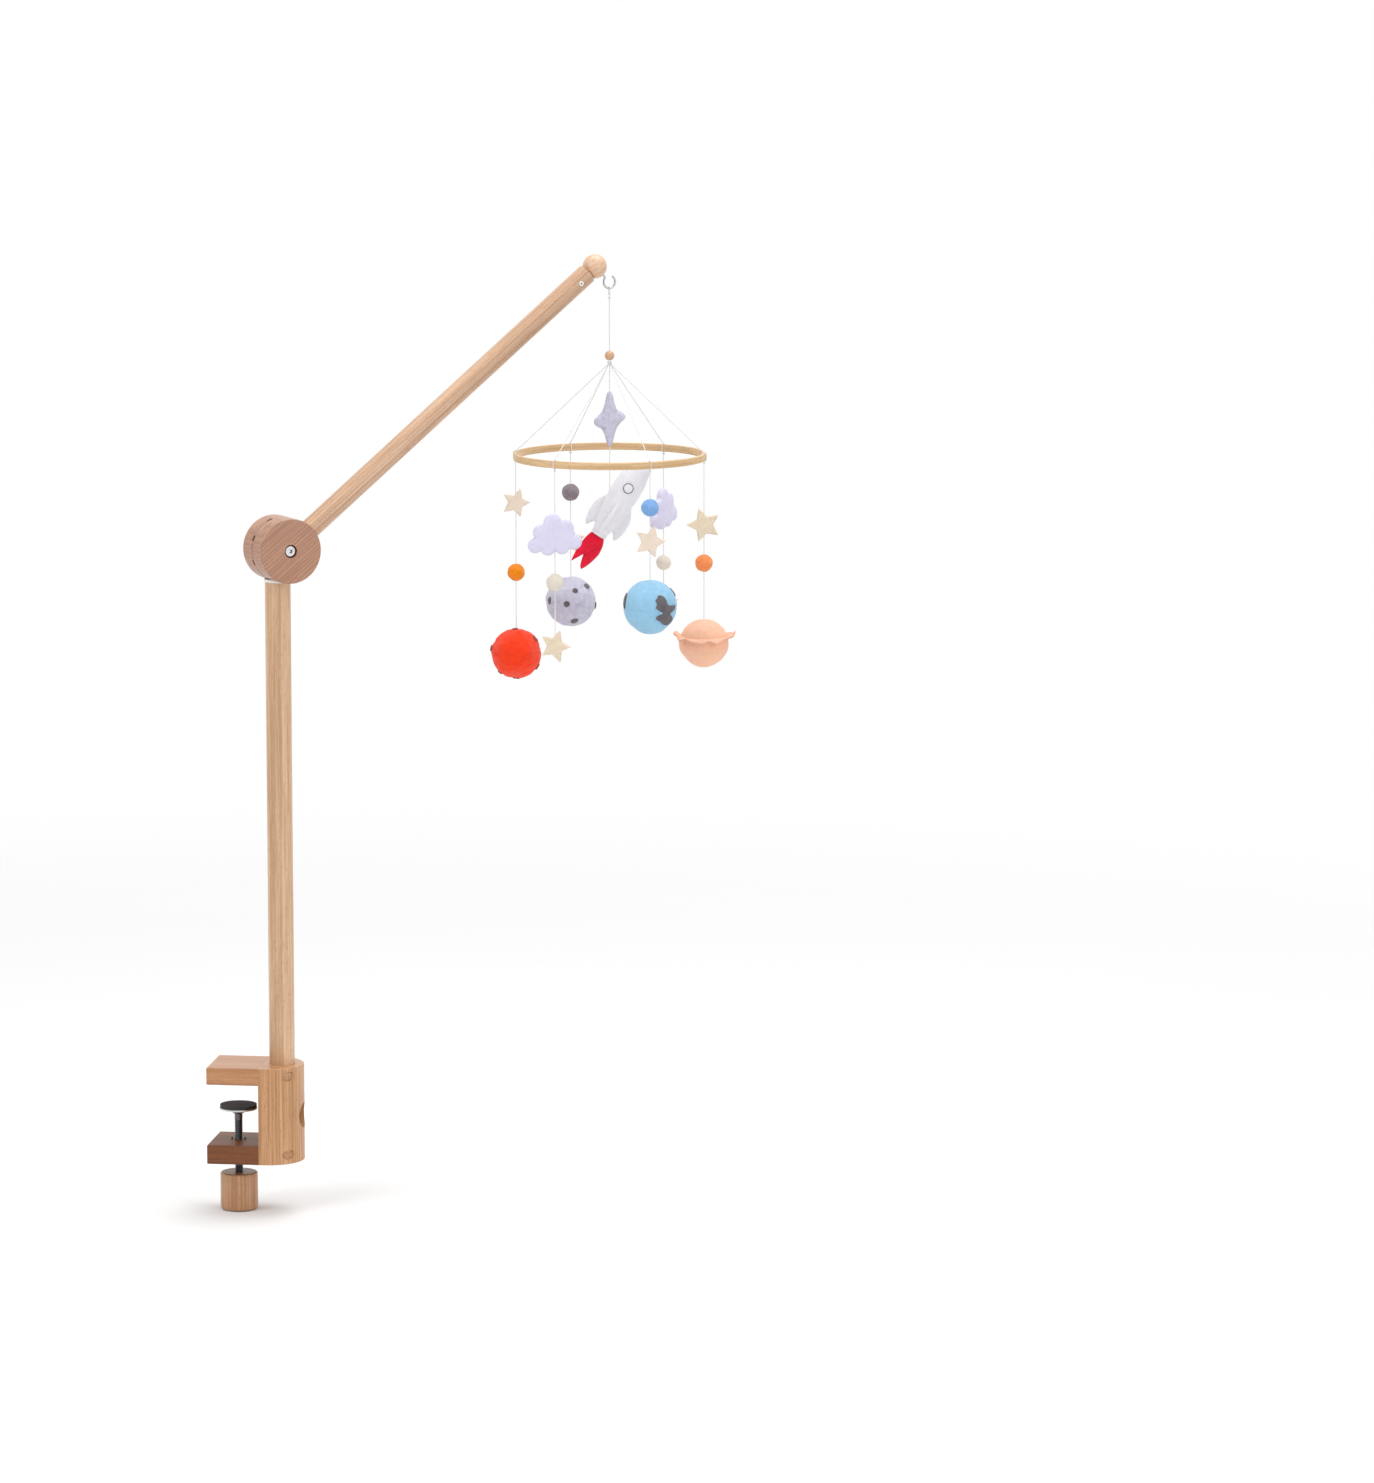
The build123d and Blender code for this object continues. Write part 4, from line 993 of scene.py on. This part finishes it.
BRIM_HEM = [(1.02, 0.75), (1.02, 0.4), (0.93, 0.0), (1.04, -0.4), (1.04, -0.75)]
BRIM_PROFILE = [(s / 7, 1) for s in range(8)] + BRIM_HEM + [(s / 7, -1) for s in range(7, -1, -1)]
brim_points = [brim_ring(i, share, side) for share, side in BRIM_PROFILE for i in range(BRIM_SIDES)]
brim_faces = tube_faces(len(BRIM_PROFILE), BRIM_SIDES, False)
last = (len(BRIM_PROFILE) - 1) * BRIM_SIDES
for i in range(BRIM_SIDES):
    brim_faces.append((last + i, last + (i + 1) % BRIM_SIDES, (i + 1) % BRIM_SIDES, i))
brim_faces = [face[::-1] for face in brim_faces]
saturn_place = hung("saturn", "saturn")
stuffed("saturn", saturn_body, peach_felt, "peach_felt", 0.95)
sewn("saturn_brim", (brim_points, brim_faces), peach_felt, saturn_place, "saturn", "peach_felt",
     "saturn_ring")


def stitched(name, points, finish, place, strand, slot, gap=0.0022, length=0.0014):
    """A line of running stitches: short raised threads, a gap apart."""
    run = 0.0
    lots = []
    for a, b in zip(points, points[1:]):
        run += (b - a).length
        if run >= gap:
            run = 0.0
            way = (b - a).normalized() * (length / 2)
            line = np.array([tuple(b + way * share) for share in (-1, -0.5, 0.5, 1)])
            lots.append(twisted(line, THREAD_D)[:2])
    sewn(name, joined(lots), finish, place, strand, slot)


peach_thread = felt("peach_thread", (0.66, 0.30, 0.17), (0.55, 0.22, 0.12), 0.5)
hem = [brim_ring(i, HEM_AT, 1) + UPRIGHT * 0.00012 for i in range(BRIM_SIDES + 1)]
stitched("saturn_hem", hem, peach_thread, saturn_place, "saturn", "peach_felt")

# ------------------------------ middle star
# A tall four-pointed star of heather plush on the middle string. It is sewn round its
# edge by hand and stuffed.
star_middle = middle("centre_star")
star_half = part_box("centre_star")[1].z - star_middle.z
heather_felt = felt("heather_plush", (0.68, 0.66, 0.80), (0.48, 0.47, 0.60), 1.6, 1.3)
# Its outline, in shares of half its height.
LIMBS = ((0.0, 1.0), (0.09, 0.93), (0.17, 0.55), (0.27, 0.30), (0.46, 0.21), (0.57, 0.11),
         (0.54, -0.01), (0.40, -0.12), (0.26, -0.30), (0.17, -0.56), (0.09, -0.93), (0.0, -1.0),
         (-0.09, -0.92), (-0.17, -0.58), (-0.27, -0.36), (-0.46, -0.27), (-0.57, -0.15),
         (-0.55, -0.02), (-0.41, 0.10), (-0.26, 0.27), (-0.17, 0.54), (-0.09, 0.93))
star_plan = eased([Vector((x, y)) * star_half for x, y in reversed(LIMBS)], 0.38)
points, faces = slab(star_plan, 0.0016, 0.0010, 0.0006, 0.3, crown=0.0040, inset=0.0050)
star_place = Matrix.Translation(star_middle) @ Matrix.Rotation(FACING + 0.1, 4, "Z")
plush = sewn("centre_star_plush", (upright_slab(points, 0.0004, 6.1), faces), heather_felt,
             star_place, "rocket", "heather_felt", "centre_star", fill=0.8)
seam_thread = felt("heather_thread", (0.27, 0.26, 0.38), (0.2, 0.19, 0.3), 0.5)
seam_line = [Vector((p.x * 0.995, -0.0002, p.y * 0.995)) for p in spaced(star_plan, 0.0005)]
stitched("centre_star_seam", seam_line, seam_thread, star_place, "rocket",
         "heather_felt", gap=0.0026, length=0.0013)

# ------------------------------ rocket
# A stuffed hull of pale felt, sewn from four panels, with four fins round its tail, a
# porthole with a stitched rim, and a flame of two crimson petals sewn into the tail.
ROCKET_R = 0.0145
ROCKET_NOSE = 0.029
ROCKET_TAIL = 0.054
COLLAR_R = 0.0078
ROCKET_LEAN = radians(58)
WINDOW_R = 0.0048
WINDOW_SUNK = 0.0006
RIM_D = 0.0010
SHOULDER_Z = 0.017
HULL_RINGS, HULL_SIDES = 120, 96
aside = Vector((cos(FACING), sin(FACING), 0))
towards = Vector((sin(FACING), -cos(FACING), 0))
rocket_up = aside * cos(ROCKET_LEAN) + UPRIGHT * sin(ROCKET_LEAN)
rocket_side = rocket_up.cross(towards)
rocket_at = middle("rocket_window") - towards * (ROCKET_R - WINDOW_SUNK)
rocket_turn = Matrix((towards, rocket_side, rocket_up)).transposed().to_4x4()
rocket_place = Matrix.Translation(rocket_at) @ rocket_turn
pale_felt = felt("pale_felt_brushed", (0.83, 0.82, 0.86), (0.70, 0.69, 0.74), 0.6, 0.4)
crimson_felt = felt("crimson_felt_sheet", (0.86, 0.010, 0.045), (0.52, 0.004, 0.02), 0.9, 0.7)
# The hull's edge, from the nose down: its share of the radius, and its height.
HULL_EDGE = ((0.0, ROCKET_NOSE), (0.35, 0.0272), (0.66, 0.0228), (0.86, 0.0165), (0.97, 0.0085),
             (1.0, -0.002), (0.99, -0.013), (0.93, -0.024), (0.83, -0.034), (0.71, -0.0445),
             (0.53, -ROCKET_TAIL))


def on_rocket(name, shape, finish, slot, *nodes, **stuffing):
    """A part of the rocket, made in the rocket's own lengthwise frame."""
    sewn(name, shape, finish, rocket_place, "rocket", slot, *nodes, **stuffing)


def hull_radius(z):
    """The hull's radius at a height along its axis."""
    heights = [h for _, h in reversed(HULL_EDGE)]
    radii = [r * ROCKET_R for r, _ in reversed(HULL_EDGE)]
    return float(np.interp(z, heights, radii))


hull_points = []
for i in range(HULL_RINGS):
    share = i / (HULL_RINGS - 1)
    z = -ROCKET_TAIL + (ROCKET_NOSE + ROCKET_TAIL) * sin(share * pi / 2) ** 0.9
    past = max(0.0, z - SHOULDER_Z) / (ROCKET_NOSE - SHOULDER_Z)
    r = hull_radius(min(z, SHOULDER_Z)) * max(sqrt(max(0.0, 1 - past**2)), 0.02)
    for turn in turns(HULL_SIDES):
        seam = exp(-(cos(2 * turn) ** 2) / 0.004)
        puff = waver(cos(turn) * 1.4, sin(turn) * 1.4, z * 60)
        pucker = 0.006 * seam * waver(turn, z * 500, 1.0)
        rr = r * (1 + 0.018 * puff - 0.02 * seam + pucker)
        hull_points.append((rr * cos(turn), rr * sin(turn), z))
on_rocket("rocket_hull_felt", (hull_points, tube_faces(HULL_RINGS, HULL_SIDES)), pale_felt,
          "white_felt", "rocket_hull", fill=0.9)

# The fins are stuffed thin, and their lower edges are cut in a wave.
FIN_PLAN = outline_of((4, -50), (8, -45.5), (12, -47.5), (16, -54), (19, -49), (20.8, -40),
                      (20.6, -31), (18.5, -24.5), (15, -18.5), (11, -15), (4, -24))
points, faces = slab(FIN_PLAN, 0.0018, FELT_STEP, 0.0006, 0.5, 0.0012, 0.004)
fin_lots = []
for quarter in range(4):
    turn = Matrix.Rotation(quarter * pi / 2, 3, "Z")
    fin_lots.append(([turn @ Vector((h, x, y)) for x, y, h in points], faces))
on_rocket("rocket_fins_felt", joined(fin_lots), pale_felt, "white_felt", "rocket_fins", fill=0.3)

# The porthole: a pale felt disc with a ring of charcoal chain stitch round it.
def on_hull(y, z, out):
    """A point that lies on the hull's front, or out from it."""
    return (hull_radius(z) + out - 0.5 * y * y / ROCKET_R, y, z)


pane_points, pane_faces = slab(disc_outline(WINDOW_R, WINDOW_R, 0.3), 0.0012, 0.0008, 0.0004, 0.4)
pane_points = [on_hull(x, y, h + 0.0004) for x, y, h in pane_points]
white_felt = felt("window_felt", (0.82, 0.82, 0.84), (0.70, 0.70, 0.74), 0.8)
on_rocket("rocket_pane", (pane_points, pane_faces), white_felt, "white_felt", "rocket_window")
rim_r = WINDOW_R * 0.98
rim_line = [on_hull(rim_r * cos(turn), rim_r * sin(turn), 0.0007)
            for turn in (*turns(96), 2 * pi)]
charcoal_thread = felt("charcoal_thread", (0.10, 0.10, 0.115), (0.05, 0.05, 0.06), 0.6)
rim = twisted(np.array(rim_line), RIM_D)[:2]
on_rocket("rocket_window_rim", rim, charcoal_thread, "grey_felt")

# A white felt collar, and the flame: a folded left petal over a broader right one.
COLLAR_PROFILE = ((0.93, -0.0535), (1.0, -0.0537), (1.03, -0.0545), (1.03, -0.0558),
                  (0.99, -0.0565), (0.5, -0.0566))
COLLAR_SIDES = 72
collar_points = []
for share, z in COLLAR_PROFILE:
    for turn in turns(COLLAR_SIDES):
        r = COLLAR_R * share * (1 + 0.02 * sin(9 * turn))
        collar_points.append((r * cos(turn), r * sin(turn), z))
collar_faces = [face[::-1] for face in tube_faces(len(COLLAR_PROFILE), COLLAR_SIDES)]
on_rocket("rocket_collar_felt", (collar_points, collar_faces), white_felt, "white_felt",
          "rocket_collar")
RIGHT_PETAL = ((-4.5, -56), (-6, -65), (-3, -78), (0.5, -91), (3.6, -95), (6.2, -90.5),
               (9, -83), (11.2, -73), (10.2, -64), (7, -56))
LEFT_PETAL = ((-7.2, -56), (-9.6, -64), (-10.8, -73), (-10.4, -85.5), (-9.4, -92.5),
              (-6, -86), (-2, -79), (4, -69), (5.5, -60), (4.5, -56))
PETALS = ((RIGHT_PETAL, 0.002, 0.0020, -0.0012), (LEFT_PETAL, 0.0018, 0.0012, 0.0024))
PETAL_ROOT, PETAL_LENGTH = 0.056, 0.036
petals = []
for plan, thick, swell, shift in PETALS:
    plan = outline_of(*reversed(plan))
    points, faces = slab(plan, thick, FELT_STEP, 0.0006, 0.5, swell, 0.004)
    bent = []
    for y, z, h in points:
        along = (-z - PETAL_ROOT) / PETAL_LENGTH
        curl = 0.0016 * sin(along * 3.0 + y * 260)
        curl += 0.0008 * waver(y * 160, z * 160, shift * 900)
        bent.append((h + shift * min(1.0, 0.35 + along) + curl * along, y, z))
    petals.append((bent, faces))
on_rocket("rocket_flame_felt", joined(petals), crimson_felt, "crimson_felt", "rocket_flame", fill=0.3)

# ------------------------------ strings
# Each string is knotted under the hoop and runs down through its toys into the lowest one.
# The middle one starts at the gather instead, and runs through the star into the rocket.
toys_on["rocket"].append(plush)
for strand, at in string_places.items():
    low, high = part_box("string_" + strand)
    body = strand + "_strand"
    if strand == "rocket":
        route = plumb(at, high.z - 0.0001, high.z - 0.012, hoop_middle.z, low.z + 0.0005)
    else:
        knot(strand + "_knot", *plumb(at, high.z - 0.0012), STRING_KNOT, body, 0.0008)
        route = plumb(at, high.z - 0.0004, high.z - 0.012, (low.z + high.z) / 2, low.z + 0.001)
    cord(strand + "_string", route, STRING_D, body, ["string_" + strand])

# ------------------------------ studio
# A plain pale floor that fades out at its edges, white all round, and three soft boxes: a
# key up on the left, one overhead and a weak one on the right.
FLOOR_GREY = 0.86
FLOOR_HALF = 3.0
FLOOR_SOLID = 0.5
FLOOR_EDGE = 2.6
SKY_SEEN = 1.0
SKY_LIGHT = 0.62
floor_z = cad_box[0].z - 0.0005
floor_finish = Finish("pale_floor", 0.9, Specular_IOR_Level=0.1)
cloudy = floor_finish.noise(floor_finish.place(), 3, 2)
floor_finish.feed(Base_Color=floor_finish.blend(cloudy, (FLOOR_GREY,) * 3, (FLOOR_GREY + 0.02,) * 3))
away = floor_finish.add("VectorMath", {"operation": "LENGTH"}, {0: floor_finish.place()}, 1)
floor_finish.feed(Alpha=1 - away.part(FLOOR_SOLID, FLOOR_EDGE))
corner = [(x * FLOOR_HALF, y * FLOOR_HALF, floor_z) for x, y in ((-1, -1), (1, -1), (1, 1), (-1, 1))]
floor = piece("studio_floor", corner, [(0, 1, 2, 3)], floor_finish)

scene = bpy.context.scene
scene.view_settings.view_transform = "Standard"
world = bpy.data.worlds.new("studio")
scene.world = world
world.use_nodes = True
sky = world.node_tree
backdrop = sky.nodes["Background"]
backdrop.inputs[0].default_value = (1, 1, 1, 1)
seen = sky.nodes.new("ShaderNodeLightPath")
either = sky.nodes.new("ShaderNodeMath")
either.operation = "MAXIMUM"
sky.links.new(seen.outputs["Is Camera Ray"], either.inputs[0])
sky.links.new(seen.outputs["Is Glossy Ray"], either.inputs[1])
level = sky.nodes.new("ShaderNodeMapRange")
level.inputs[3].default_value = SKY_LIGHT
level.inputs[4].default_value = SKY_SEEN
sky.links.new(either.outputs[0], level.inputs[0])
sky.links.new(level.outputs[0], backdrop.inputs[1])
model_middle = (cad_box[0] + cad_box[1]) / 2


def soft_light(name, offset, size, watts):
    """A square soft box that faces the middle of the model."""
    lamp = bpy.data.lights.new(name, "AREA")
    lamp.shape = "SQUARE"
    lamp.size = size
    lamp.energy = watts
    box = bpy.data.objects.new(name, lamp)
    scene.collection.objects.link(box)
    box.location = model_middle + Vector(offset)
    box.rotation_euler = (-Vector(offset)).to_track_quat("-Z", "Y").to_euler()


soft_light("key_light", (-1.6, -1.9, 1.9), 1.6, 34)
soft_light("top_light", (0.4, 0.5, 2.4), 1.8, 42)
soft_light("right_fill", (2.3, -1.6, 0.6), 1.5, 20)

CAMERA_AT = (1.2404, -6.3212, 1.3100)
CAMERA_AZIMUTH = radians(7.178)
CAMERA_DROP = radians(8.625)
camera = bpy.data.objects.new("camera", bpy.data.cameras.new("camera"))
scene.collection.objects.link(camera)
camera.location = CAMERA_AT
look = Vector((-sin(CAMERA_AZIMUTH) * cos(CAMERA_DROP),
               cos(CAMERA_AZIMUTH) * cos(CAMERA_DROP), -sin(CAMERA_DROP)))
camera.rotation_euler = look.to_track_quat("-Z", "Y").to_euler()
camera.data.lens = 161.89
camera.data.sensor_width = 36.0
camera.data.clip_end = 200.0
scene.camera = camera
